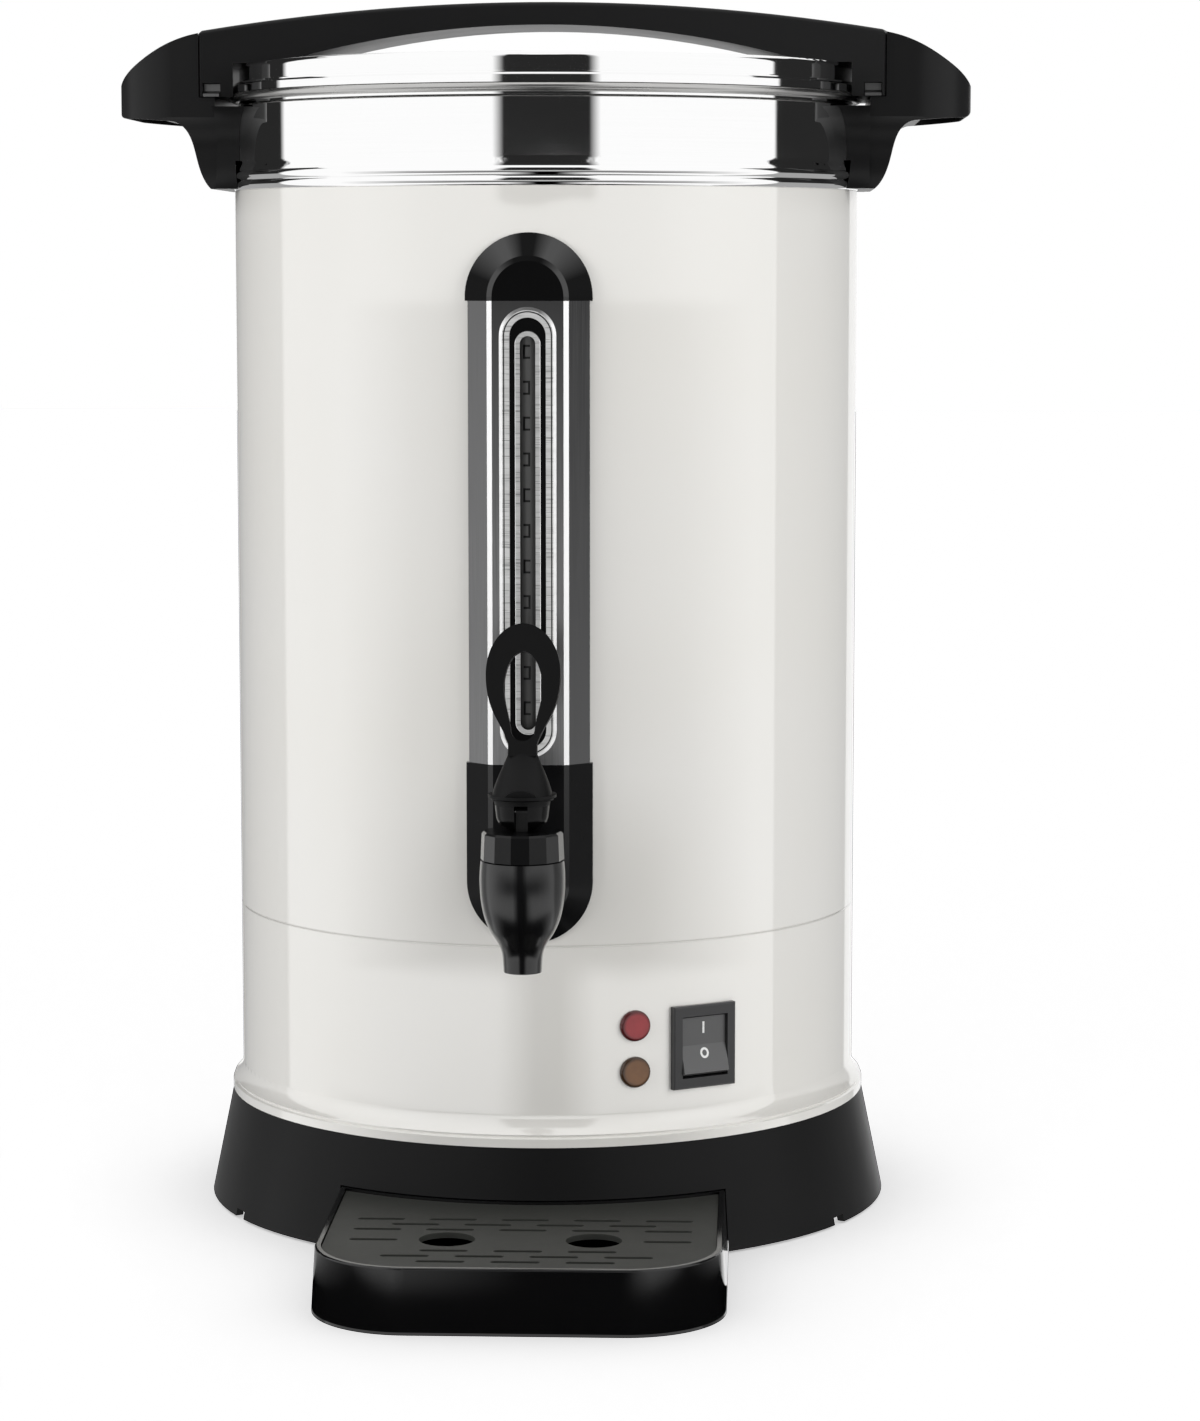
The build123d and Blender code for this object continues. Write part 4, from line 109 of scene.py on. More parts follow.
class UrnDetails(bpy.types.PropertyGroup):
    """Sizes of the fine pieces that ride on the solids."""

    mark_height: length_property("Mark height", "Height of one bracket mark on the gauge", 0.0054)
    mark_arm: length_property("Mark arm", "Length of a bracket mark's arms", 0.0028)
    mark_stroke: length_property("Mark stroke", "Width of a bracket mark's line", 0.0008)
    mark_pitch: length_property("Mark pitch", "Distance between two marks", 0.01387)
    mark_top: length_property("Top mark", "Height of the top mark's middle above the counter", 0.3595)
    mark_count: bpy.props.IntProperty(
        name="Marks", description="How many marks the gauge carries", default=11, min=1, max=40
    )
    on_place: length_property("On mark place", "Height of the on mark above the rocker's middle", 0.0074, low=-0.02)
    off_place: length_property("Off mark place", "Height of the off mark above the rocker's middle", -0.0028, low=-0.02)
    on_height: length_property("On mark", "Height of the bar that marks the on side", 0.0047)
    off_width: length_property("Off mark width", "Width of the ring that marks the off side", 0.0039)
    off_height: length_property("Off mark height", "Height of the ring that marks the off side", 0.0042)
    switch_stroke: length_property("Switch mark stroke", "Width of the switch marks' line", 0.0009)


class UrnStage(bpy.types.PropertyGroup):
    """Camera, floor, cards and lamps around the urn."""

    camera_place: bpy.props.FloatVectorProperty(
        name="Camera place", description="Where the camera stands", default=(0.0889, -1.6523, 0.3927), subtype="XYZ",
        unit="LENGTH", size=3
    )
    camera_pitch: angle_property("Camera pitch", "How far the camera looks down", 6.484)
    camera_turn: angle_property("Camera turn", "Heading of the camera from straight back", 2.304)
    camera_lens: bpy.props.FloatProperty(name="Lens", description="Focal length in millimetres", default=99.22, min=1.0)
    surround: bpy.props.FloatProperty(
        name="Surround", description="Light that the room gives to unpolished surfaces", default=0.47, min=0.0
    )
    lamp_power: bpy.props.FloatProperty(
        name="Lamp power", description="Power of each of the two side lamps", default=30.5, min=0.0, subtype="POWER",
        unit="POWER"
    )
    floor_wash: bpy.props.FloatProperty(
        name="Floor wash", description="Even light that only the floor takes, which softens the urn's shadow",
        default=0.75, min=0.0
    )
    card_half_angle: angle_property("Front card", "Half the angle that the dark front card covers", 17.0)


# ---------------------------------------------------------------------------
# Node trees
# ---------------------------------------------------------------------------

class Bench:
    """Puts nodes into one tree, sets their sockets and joins them."""

    def __init__(self, tree):
        self.tree = tree
        self.count = 0

    def node(self, kind, **settings):
        made = self.tree.nodes.new(kind)
        made.location = (200 * (self.count % 9) - 1400, -240 * (self.count // 9))
        self.count += 1
        for key, value in settings.items():
            setattr(made, key, value)
        return made

    def feed(self, socket, value):
        """Joins a socket to another node's, or sets it; a colour is set by its three shares."""
        if isinstance(value, bpy.types.NodeSocket):
            self.tree.links.new(value, socket)
        elif socket.type == "RGBA":
            socket.default_value = (*value, 1.0)
        else:
            socket.default_value = value

    def math(self, operation, first, second=0.0, third=0.0, clamp=False):
        made = self.node("ShaderNodeMath", operation=operation, use_clamp=clamp)
        for socket, value in zip(made.inputs, (first, second, third)):
            self.feed(socket, value)
        return made.outputs[0]

    def vector(self, operation, first, second=None):
        made = self.node("ShaderNodeVectorMath", operation=operation)
        self.feed(made.inputs[0], first)
        if second is not None:
            self.feed(made.inputs[1], second)
        return made.outputs["Value" if operation in ("LENGTH", "DOT_PRODUCT") else "Vector"]

    def split(self, vector):
        """The x, y and z of a vector."""
        made = self.node("ShaderNodeSeparateXYZ")
        self.feed(made.inputs[0], vector)
        return made.outputs

    def join(self, *values):
        """A vector of up to three values; the rest are 0."""
        made = self.node("ShaderNodeCombineXYZ")
        for socket, value in zip(made.inputs, values):
            self.feed(socket, value)
        return made.outputs[0]

    def noise(self, place, scale, detail, roughness):
        made = self.node("ShaderNodeTexNoise")
        for name, value in (("Vector", place), ("Scale", scale), ("Detail", detail), ("Roughness", roughness)):
            self.feed(made.inputs[name], value)
        return made.outputs["Fac"]

    def ramp(self, value, low, high, out_low=0.0, out_high=1.0):
        made = self.node("ShaderNodeMapRange")
        for name, given in (
            ("Value", value), ("From Min", low), ("From Max", high), ("To Min", out_low), ("To Max", out_high)
        ):
            self.feed(made.inputs[name], given)
        return made.outputs["Result"]

    def blend(self, factor, first, second):
        made = self.node("ShaderNodeMix", data_type="RGBA")
        self.feed(made.inputs[0], factor)
        self.feed(made.inputs[6], first)
        self.feed(made.inputs[7], second)
        return made.outputs[2]

    def bump(self, height, distance):
        made = self.node("ShaderNodeBump")
        self.feed(made.inputs["Height"], height)
        self.feed(made.inputs["Distance"], distance)
        return made.outputs["Normal"]

    def place(self):
        """Where a point is, in metres from the urn's foot."""
        return self.node("ShaderNodeTexCoord").outputs["Object"]

    def normal(self):
        """Which way the surface faces, before any bump."""
        return self.node("ShaderNodeNewGeometry").outputs["Normal"]

    def group(self, tree, **values):
        made = self.node("ShaderNodeGroup", node_tree=tree)
        for name, value in values.items():
            self.feed(made.inputs[name], value)
        return made


def fresh_bench(owner):
    """The emptied node tree of a material or a world."""
    owner.use_nodes = True
    owner.node_tree.nodes.clear()
    return Bench(owner.node_tree)


def shader_group(name, inputs, outputs, wire):
    """One shared group. inputs are (name, default) pairs, outputs names; wire(bench, ends) returns their sockets."""
    if name in bpy.data.node_groups:
        return bpy.data.node_groups[name]
    tree = bpy.data.node_groups.new(name, "ShaderNodeTree")
    for label, default in inputs:
        kind = "NodeSocketVector" if isinstance(default, tuple) else "NodeSocketFloat"
        socket = tree.interface.new_socket(name=label, in_out="INPUT", socket_type=kind)
        socket.default_value = default
    for label in outputs:
        tree.interface.new_socket(name=label, in_out="OUTPUT", socket_type="NodeSocketFloat")
    bench = Bench(tree)
    entry = bench.node("NodeGroupInput")
    leave = bench.node("NodeGroupOutput")
    for label, socket in zip(outputs, wire(bench, entry.outputs)):
        tree.links.new(socket, leave.inputs[label])
    return tree


def moulded_grain():
    """The fine spark-eroded grain of moulded plastic, and slow changes in its gloss."""

    def wire(bench, ends):
        place = bench.place()
        size = bench.math("DIVIDE", 1.0, ends["Grain"])
        fine = bench.noise(place, size, 2.0, 0.6)
        pits = bench.node("ShaderNodeTexVoronoi", feature="F1")
        bench.feed(pits.inputs["Vector"], place)
        bench.feed(pits.inputs["Scale"], bench.math("MULTIPLY", size, 0.7))
        height = bench.math("MULTIPLY_ADD", pits.outputs["Distance"], 0.6, fine)
        slow = bench.noise(place, 38.0, 4.0, 0.55)
        return height, bench.ramp(slow, 0.3, 0.7)

    return shader_group("moulded grain", [("Grain", 0.0005)], ["Height", "Gloss change"], wire)


def turned_lines():
    """Fine lines round the upright axis, as lathe polishing leaves them."""

    def wire(bench, ends):
        place = bench.place()
        x, y, z = bench.split(place)
        radius = bench.vector("LENGTH", bench.join(x, y))
        turn = bench.math("ABSOLUTE", bench.math("ARCTAN2", y, x))
        lines = bench.join(
            bench.math("MULTIPLY", radius, ends["Fineness"]),
            bench.math("MULTIPLY", z, ends["Fineness"]),
            bench.math("MULTIPLY", turn, 1.6),
        )
        return bench.noise(lines, 1.0, 2.0, 0.6), bench.noise(place, 24.0, 3.0, 0.5)

    return shader_group("turned lines", [("Fineness", 2600.0)], ["Height", "Cloud"], wire)


def drawn_lines():
    """Straight brushed lines; Stretch gives how fast they change along each axis."""

    def wire(bench, ends):
        place = bench.place()
        stretched = bench.vector("MULTIPLY", place, ends["Stretch"])
        return bench.noise(stretched, 1.0, 3.0, 0.65), bench.noise(place, 30.0, 3.0, 0.5)

    return shader_group("drawn lines", [("Stretch", (3800.0, 3800.0, 45.0))], ["Height", "Cloud"], wire)


def rubbed_edges():
    """Where handling has rubbed an edge: the rounded normal leaves the true one there."""

    def wire(bench, ends):
        soft = bench.node("ShaderNodeBevel", samples=4)
        bench.feed(soft.inputs["Radius"], ends["Width"])
        apart = bench.math("SUBTRACT", 1.0, bench.vector("DOT_PRODUCT", soft.outputs["Normal"], bench.normal()))
        patchy = bench.ramp(bench.noise(bench.place(), 240.0, 3.0, 0.6), 0.35, 0.6)
        edge = bench.ramp(apart, 0.02, 0.16)
        return (bench.math("MULTIPLY", bench.math("MULTIPLY", edge, patchy), ends["Amount"], clamp=True),)

    return shader_group("rubbed edges", [("Width", 0.0006), ("Amount", 0.5)], ["Mask"], wire)


def settled_dust():
    """A thin film on surfaces that face up."""

    def wire(bench, ends):
        facing = bench.math("POWER", bench.math("MAXIMUM", bench.split(bench.normal())[2], 0.0), 3.0)
        patchy = bench.ramp(bench.noise(bench.place(), 420.0, 5.0, 0.7), 0.42, 0.75)
        return (bench.math("MULTIPLY", bench.math("MULTIPLY", facing, patchy), ends["Amount"], clamp=True),)

    return shader_group("settled dust", [("Amount", 0.2)], ["Mask"], wire)


def facing_band():
    """Faces turned away from straight ahead by an angle whose cosine lies between Low and High."""

    def wire(bench, ends):
        front = bench.vector("DOT_PRODUCT", bench.normal(), (0.0, -1.0, 0.0))
        turned = bench.math("GREATER_THAN", front, ends["Low"])
        return (bench.math("MULTIPLY", turned, bench.math("LESS_THAN", front, ends["High"])),)

    return shader_group("facing band", [("Low", 0.86), ("High", 0.93)], ["Mask"], wire)


def scaled(colour, factor):
    """A colour made darker or lighter."""
    return tuple(c * factor for c in colour)


def paled(colour):
    """The colour of black plastic where handling has rubbed it."""
    return tuple(min(1.0, c * 2.2 + 0.012) for c in colour)


def start_material(name):
    """A new material: its bench and its Principled node."""
    material = bpy.data.materials.new(name)
    bench = fresh_bench(material)
    output = bench.node("ShaderNodeOutputMaterial")
    shader = bench.node("ShaderNodeBsdfPrincipled")
    bench.feed(output.inputs["Surface"], shader.outputs["BSDF"])
    return material, bench, shader


def set_all(bench, shader, **values):
    """Feeds a shader's sockets; an underscore stands for a space in a socket's name."""
    for name, value in values.items():
        bench.feed(shader.inputs[name.replace("_", " ")], value)


def moulded(name, colour, roughness, grain=0.0004, depth=0.00001, rubbed=0.35, dust_and_seam_shade=0.0, gloss_change=0.05,
            specular=0.5, edge=0.0006):
    """Moulded plastic with grain, slightly uneven gloss and edges paled by handling."""
    material, bench, shader = start_material(name)
    grit = bench.group(moulded_grain(), Grain=grain)
    edges = bench.group(rubbed_edges(), Width=edge, Amount=rubbed)
    tint = bench.blend(edges.outputs["Mask"], colour, paled(colour))
    if dust_and_seam_shade > 0.0:
        film = bench.group(settled_dust(), Amount=dust_and_seam_shade)
        tint = bench.blend(film.outputs["Mask"], tint, (0.16, 0.158, 0.15))
    rough = bench.math("MULTIPLY_ADD", grit.outputs["Gloss change"], gloss_change, roughness)
    set_all(bench, shader, Base_Color=tint, Roughness=rough, Specular_IOR_Level=specular)
    set_all(bench, shader, Normal=bench.bump(grit.outputs["Height"], depth))
    return material


def housing_black(name, colour, specular, bevel_low=0.0, bevel_high=0.001):
    """Satin black housing. Its bevels are glossy and fade at their lower end; the crown of its round top is glossy."""
    material, bench, shader = start_material(name)
    grit = bench.group(moulded_grain(), Grain=0.0004)
    normal = bench.split(bench.normal())
    height = bench.split(bench.place())[2]
    bevel = bench.group(facing_band()).outputs["Mask"]
    bevel = bench.math("MULTIPLY", bevel, bench.ramp(normal[2], 0.28, 0.42, 1.0, 0.0))
    bevel = bench.math("MULTIPLY", bevel, bench.ramp(height, bevel_low, bevel_high, 0.15, 1.0))
    crown = bench.group(facing_band(), Low=0.74, High=0.86).outputs["Mask"]
    crown = bench.math("MULTIPLY", crown, bench.ramp(normal[2], 0.22, 0.50))
    crown = bench.math("MULTIPLY", crown, bench.ramp(bench.math("ABSOLUTE", normal[0]), 0.07, 0.24))
    set_all(bench, shader, Base_Color=bench.blend(grit.outputs["Gloss change"], colour, scaled(colour, 1.6)))
    set_all(bench, shader, Roughness=bench.math("MULTIPLY_ADD", grit.outputs["Gloss change"], 0.03, 0.20))
    set_all(bench, shader, Specular_IOR_Level=specular, Coat_Weight=bench.math("MAXIMUM", bevel, crown))
    set_all(bench, shader, Coat_Roughness=0.12, Coat_IOR=1.7)
    set_all(bench, shader, Normal=bench.bump(grit.outputs["Height"], 0.000004))
    return material


def tap_gloss(name, colour, low, high):
    """Satin black tap moulding: duller down the middle of its front, glossy once it faces aside by low to high."""
    material, bench, shader = start_material(name)
    grit = bench.group(moulded_grain(), Grain=0.0006)
    edges = bench.group(rubbed_edges(), Width=0.0006, Amount=0.1)
    across = bench.math("ABSOLUTE", bench.split(bench.normal())[0])
    set_all(bench, shader, Base_Color=bench.blend(edges.outputs["Mask"], colour, paled(colour)))
    set_all(bench, shader, Roughness=bench.math("MULTIPLY_ADD", grit.outputs["Gloss change"], 0.03, 0.22))
    set_all(bench, shader, Specular_IOR_Level=0.08, Coat_Weight=bench.ramp(across, low, high))
    set_all(bench, shader, Coat_Roughness=0.2, Coat_IOR=1.58)
    set_all(bench, shader, Normal=bench.bump(grit.outputs["Height"], 0.000002))
    return material


def matte_lever(name, colour, hub_top):
    """Matte moulded lever whose hub, below hub_top, is left glossy."""
    material, bench, shader = start_material(name)
    grit = bench.group(moulded_grain(), Grain=0.0004)
    edges = bench.group(rubbed_edges(), Width=0.0005, Amount=0.15)
    height = bench.split(bench.place())[2]
    hub = bench.math("LESS_THAN", height, hub_top)
    tint = bench.blend(hub, colour, scaled(colour, 0.35))
    set_all(bench, shader, Base_Color=bench.blend(edges.outputs["Mask"], tint, (0.02, 0.02, 0.02)))
    rough = bench.math("MULTIPLY_ADD", grit.outputs["Gloss change"], 0.05, 0.46)
    set_all(bench, shader, Roughness=bench.ramp(hub, 0.0, 1.0, rough, 0.16), Specular_IOR_Level=0.18)
    set_all(bench, shader, Normal=bench.bump(grit.outputs["Height"], 0.000008))
    return material


def enamel(name, colour, coat, joint):
    """Baked cream enamel: a glossy skin with the faint waves of spraying, and a thin line of painted shade along the
    joint between the jackets.
    """
    material, bench, shader = start_material(name)
    place = bench.place()
    waves = bench.noise(place, 130.0, 2.0, 0.5)
    cloud = bench.ramp(bench.noise(place, 9.0, 3.0, 0.5), 0.3, 0.7)
    warm = tuple(c * k for c, k in zip(colour, (0.985, 0.98, 0.965)))
    specks = bench.ramp(bench.noise(place, 2600.0, 1.0, 0.5), 0.74, 0.80)
    tint = bench.blend(bench.math("MULTIPLY", specks, 0.25), bench.blend(cloud, colour, warm), (0.5, 0.49, 0.47))
    # Painted shade: the base colour is darkened in a thin line at the joint's height, standing in for the shadow in the
    # seam.
    away = bench.math("ABSOLUTE", bench.math("SUBTRACT", bench.split(place)[2], joint))
    dust_and_seam_shade = bench.ramp(away, 0.0003, 0.0008, 0.24, 0.0)
    tint = bench.blend(dust_and_seam_shade, tint, (0.25, 0.245, 0.23))
    set_all(bench, shader, Base_Color=tint, Roughness=bench.math("MULTIPLY_ADD", cloud, 0.04, 0.30))
    set_all(bench, shader, Coat_Weight=coat, Coat_Roughness=0.03, Coat_IOR=2.2)
    set_all(bench, shader, Normal=bench.bump(waves, 0.00002))
    return material


def polished(name, colour, roughness=0.035, fineness=2600.0, depth=0.0000012, turned=True,
             stretch=(3800.0, 3800.0, 45.0), cloud=0.03, fade=0.965):
    """Polished or brushed metal: fine lines, and a slight haze where it has been wiped."""
    material, bench, shader = start_material(name)
    if turned:
        lines = bench.group(turned_lines(), Fineness=fineness)
    else:
        lines = bench.group(drawn_lines(), Stretch=stretch)
    haze = bench.ramp(lines.outputs["Cloud"], 0.35, 0.7)
    streak = bench.ramp(lines.outputs["Height"], 0.35, 0.65)
    set_all(bench, shader, Base_Color=bench.blend(streak, colour, scaled(colour, fade)), Metallic=1.0)
    set_all(bench, shader, Roughness=bench.math("MULTIPLY_ADD", haze, cloud, roughness))
    set_all(bench, shader, Normal=bench.bump(lines.outputs["Height"], depth))
    return material


def bevelled_shield(name, colour, bright, low, high):
    """Brushed steel with painted light: painted shade darkens it with height and on its right side, its front face is
    painted lighter towards its foot, and its two bevels carry a painted white highlight.
    """
    material, bench, shader = start_material(name)
    lines = bench.group(drawn_lines(), Stretch=(2600.0, 2600.0, 30.0))
    glint_and_backdrop = bench.group(facing_band()).outputs["Mask"]
    front = bench.group(facing_band(), **SQUARE_ON).outputs["Mask"]
    # Painted shade and reflection: the sides and the front take lit and shaded tones that change with height and with
    # the way they face.
    right = bench.ramp(bench.split(bench.normal())[0], 0.2, 0.4)
    up = bench.ramp(bench.split(bench.place())[2], low, high)
    lit_left_side = bench.blend(up, colour, scaled(colour, 0.72))
    shaded_right_side = bench.blend(up, scaled(colour, 0.52), scaled(colour, 0.2))
    face = bench.blend(up, scaled(colour, 2.7), scaled(colour, 0.5))
    tint = bench.blend(front, bench.blend(right, lit_left_side, shaded_right_side), face)
    streak = bench.ramp(lines.outputs["Height"], 0.35, 0.65, 0.0, 0.35)
    tint = bench.blend(streak, tint, scaled(colour, 0.6))
    # Painted highlight: the two bevels are coloured white, not metal, in place of the light they would reflect.
    set_all(bench, shader, Base_Color=bench.blend(glint_and_backdrop, tint, bright), Metallic=bench.math("SUBTRACT", 1.0, glint_and_backdrop))
    rough = bench.math("MULTIPLY_ADD", front, 0.14, 0.18)
    set_all(bench, shader, Roughness=bench.ramp(glint_and_backdrop, 0.0, 1.0, rough, 0.15))
    set_all(bench, shader, Normal=bench.bump(lines.outputs["Height"], 0.000004))
    return material


def ribbed_ring(name, bright, satin, rib_depth, node, groove=None):
    """Bright moulding round a slot: a polished bead whose reflection is painted on, white and dark where it faces up,
    and a satin front scored across with ribs. groove gives how far in from its edge a groove painted dark with shade
    starts and ends."""
    material, bench, shader = start_material(name)
    low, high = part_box(node)
    reach = (high.x - low.x) / 2
    place = bench.place()
    flat = bench.group(facing_band(), **SQUARE_ON).outputs["Mask"]
    ribs = bench.noise(bench.vector("MULTIPLY", place, (90.0, 90.0, 2600.0)), 1.0, 2.0, 0.55)
    wide = bench.noise(bench.vector("MULTIPLY", place, (60.0, 60.0, 420.0)), 1.0, 2.0, 0.5)
    score = bench.ramp(ribs, 0.34, 0.44, 0.75, 0.0)
    shade = bench.ramp(wide, 0.35, 0.65, 0.0, 0.55)
    front = bench.blend(shade, satin, scaled(satin, 0.72))
    front = bench.blend(score, front, scaled(satin, 0.3))
    up = bench.split(bench.normal())[2]
    # Painted reflection: the bead is coloured bright white, and dark where it faces up, in place of the room it would
    # mirror.
    bead = bench.blend(bench.ramp(up, 0.14, 0.34), bright, scaled(bright, 0.15))
    tint = bench.blend(flat, bead, front)
    if groove:
        # Painted shade: the groove is coloured near black where its recess would be in shadow.
        x, _, z = bench.split(place)
        along = bench.math("ABSOLUTE", bench.math("SUBTRACT", z, (low.z + high.z) / 2))
        past_straight = bench.math("SUBTRACT", along, (high.z - low.z) / 2 - reach)
        away = bench.vector("LENGTH", bench.join(x, bench.math("MAXIMUM", past_straight, 0.0)))
        inside = bench.math("GREATER_THAN", away, reach - groove[1])
        inside = bench.math("MULTIPLY", inside, bench.math("LESS_THAN", away, reach - groove[0]))
        tint = bench.blend(inside, tint, (0.012, 0.012, 0.012))
    set_all(bench, shader, Base_Color=tint, Metallic=bench.math("MULTIPLY", wide, 0.3))
    set_all(bench, shader, Roughness=bench.ramp(flat, 0.0, 1.0, 0.15, 0.5))
    set_all(bench, shader, Normal=bench.bump(bench.math("MULTIPLY", ribs, flat), rib_depth))
    return material


def rubber_like(name, colour, roughness=0.7):
    """Moulded rubber or silicone, coarse in grain, with dust settled on it."""
    material, bench, shader = start_material(name)
    grit = bench.group(moulded_grain(), Grain=0.0009)
    film = bench.group(settled_dust(), Amount=0.35)
    set_all(bench, shader, Base_Color=bench.blend(film.outputs["Mask"], colour, (0.14, 0.135, 0.13)))
    set_all(bench, shader, Roughness=bench.math("MULTIPLY_ADD", grit.outputs["Gloss change"], 0.12, roughness))
    set_all(bench, shader, Normal=bench.bump(grit.outputs["Height"], 0.00003))
    return material


def smoked_tube(name, colour):
    """Smoked clear plastic with faint drawing lines along its length."""
    material, bench, shader = start_material(name)
    lines = bench.group(drawn_lines(), Stretch=(1400.0, 1400.0, 8.0))
    set_all(bench, shader, Base_Color=bench.blend(lines.outputs["Cloud"], colour, scaled(colour, 1.25)))
    set_all(bench, shader, Metallic=0.0, Roughness=0.22, IOR=1.49)
    set_all(bench, shader, Normal=bench.bump(lines.outputs["Height"], 0.000004))
    return material


def lens(name, colour, node):
    """A lamp lens: deep coloured plastic, darker round its rim, with fine ribs behind a smooth face."""
    material, bench, shader = start_material(name)
    low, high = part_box(node)
    middle = (low + high) / 2
    out = Vector((middle.x, middle.y, 0.0)).normalized()
    half = (high.z - low.z) / 2
    place = bench.place()
    reach = bench.vector("SUBTRACT", place, tuple(middle))
    aside = bench.vector("DOT_PRODUCT", reach, (-out.y, out.x, 0.0))
    away = bench.vector("LENGTH", bench.join(aside, bench.split(reach)[2]))
    rim = bench.ramp(away, half * 0.70, half * 0.90)
    cloud = bench.ramp(bench.noise(place, 260.0, 2.0, 0.5), 0.3, 0.7)
    ribs = bench.noise(place, 1500.0, 1.0, 0.4)
    tint = bench.blend(bench.math("MULTIPLY", cloud, 0.6), colour, scaled(colour, 0.7))
    set_all(bench, shader, Base_Color=bench.blend(rim, tint, scaled(colour, 0.22)))
    set_all(bench, shader, Roughness=bench.math("MULTIPLY_ADD", cloud, 0.08, 0.18), Specular_IOR_Level=0.15)
    set_all(bench, shader, Coat_Weight=1.0, Coat_Roughness=0.04)
    set_all(bench, shader, Normal=bench.bump(ribs, 0.00006))
    return material


def print_ink(name, colour):
    """Printed or filled marks, slightly broken up."""
    material, bench, shader = start_material(name)
    worn = bench.ramp(bench.noise(bench.place(), 1800.0, 3.0, 0.6), 0.4, 0.75)
    set_all(bench, shader, Base_Color=bench.blend(worn, colour, scaled(colour, 0.8)))
    set_all(bench, shader, Roughness=bench.math("MULTIPLY_ADD", worn, 0.1, 0.45))
    return material


def dress(material, *names):
    """Gives CAD nodes a material on each of their slots."""
    for name in names:
        node = NODES[name]
        if not node.material_slots:
            node.data.materials.append(material)
        for slot in node.material_slots:
            slot.material = material


# ---------------------------------------------------------------------------
# Meshes
# ---------------------------------------------------------------------------

def add_object(name, data):
    """A new object, linked to the scene."""
    made = bpy.data.objects.new(name, data)
    bpy.context.scene.collection.objects.link(made)
    return made


def mesh_piece(name, body, material, fill):
    """A new piece whose mesh fill(bm) makes, riding on one body."""
    mesh = bpy.data.meshes.new(name)
    bm = bmesh.new()
    fill(bm)
    bmesh.ops.recalc_face_normals(bm, faces=bm.faces)
    bm.to_mesh(mesh)
    bm.free()
    mesh.materials.append(material)
    piece = add_object(name, mesh)
    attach(piece, body)


def plate(bm, outline, place, thickness):
    """A thin plate: outline points (u, v) put in space by place(u, v, w), from w = 0 to w = thickness."""
    rear = [bm.verts.new(place(u, v, 0.0)) for u, v in outline]
    front = [bm.verts.new(place(u, v, thickness)) for u, v in outline]
    bm.faces.new(rear)
    bm.faces.new(list(reversed(front)))
    for i in range(len(outline)):
        bm.faces.new([rear[i - 1], rear[i], front[i], front[i - 1]])


def band(bm, inner, outer, place, thickness):
    """A closed ring between two outlines with the same number of points."""
    rows = [
        [bm.verts.new(place(u, v, w)) for u, v in outline]
        for outline, w in ((inner, 0.0), (inner, thickness), (outer, thickness), (outer, 0.0))
    ]
    for i in range(len(inner)):
        for a, b in zip(rows, rows[1:] + rows[:1]):
            bm.faces.new([a[i - 1], a[i], b[i], b[i - 1]])


def gauge_marks(sizes, material):
    """The row of bracket marks down the gauge."""
    ink = 0.00003
    gap = 0.00004
    low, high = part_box("gauge_tube")
    tube_y = (low.y + high.y) / 2
    radius = (high.x - low.x) / 2 + gap

    def on_tube(u, v, w):
        turn = u / radius
        reach = radius + w
        return (reach * math.sin(turn), tube_y - reach * math.cos(turn), v)

    def fill(bm):
        stroke = sizes.mark_stroke
        half = sizes.mark_height / 2
        left = -sizes.mark_arm / 2 - stroke * 0.8
        right = left + sizes.mark_arm
        across = [left + (right - left) * k / 6 for k in range(7)]
        for step in range(sizes.mark_count):
            middle = sizes.mark_top - step * sizes.mark_pitch
            for foot in (middle - half, middle + half - stroke):
                outline = [(u, foot) for u in across] + [(u, foot + stroke) for u in reversed(across)]
                plate(bm, outline, on_tube, ink)
            near = left if step % 2 == 0 else right - stroke
            bar = [near, near + stroke / 2, near + stroke]
            outline = [(u, middle - half + stroke) for u in bar] + [(u, middle + half - stroke) for u in reversed(bar)]
            plate(bm, outline, on_tube, ink)

    mesh_piece("gauge_marks", "urn", material, fill)


def switch_marks(sizes, material):
    """The bar and the ring printed on the two faces of the rocker."""
    ink = 0.00004
    gap = 0.00003
    outside = 0.05
    rocker = NODES["switch_rocker"]
    low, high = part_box("switch_rocker")
    middle = (low + high) / 2
    out = Vector((middle.x, middle.y, 0.0)).normalized()
    along = Vector((-out.y, out.x, 0.0))

    def on_face(u, v, w):
        start = middle + along * u + Vector((0.0, 0.0, v)) + out * outside
        hit, point, normal, _ = rocker.ray_cast(start, -out)
        if not hit:
            raise RuntimeError("a switch mark misses the rocker")
        return point + normal * (gap + w)

    def fill(bm):
        stroke = sizes.switch_stroke
        foot = sizes.on_place - sizes.on_height / 2
        rise = [foot + sizes.on_height * k / 4 for k in range(5)]
        plate(bm, [(stroke / 2, v) for v in rise] + [(-stroke / 2, v) for v in reversed(rise)], on_face, ink)
        turns = [2 * math.pi * k / 32 for k in range(32)]
        wide, tall = sizes.off_width / 2, sizes.off_height / 2
        inner, outer = (
            [((wide - cut) * math.cos(t), sizes.off_place + (tall - cut) * math.sin(t)) for t in turns]
            for cut in (stroke, 0.0)
        )
        band(bm, inner, outer, on_face, ink)

    mesh_piece("switch_marks", "rocker", material, fill)


# ---------------------------------------------------------------------------
# Operators, one for each piece or group of like pieces
# ---------------------------------------------------------------------------

class URN_OT_jackets(bpy.types.Operator):
    """Enamel the two jackets"""

    bl_idname = "urn.jackets"
    bl_label = "Jackets"

    def execute(self, context):
        look = context.scene.urn_finishes
        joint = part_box("upper_jacket")[0].z
        dress(enamel("cream enamel", look.enamel, look.enamel_coat, joint), "lower_jacket", "upper_jacket")
        return {"FINISHED"}


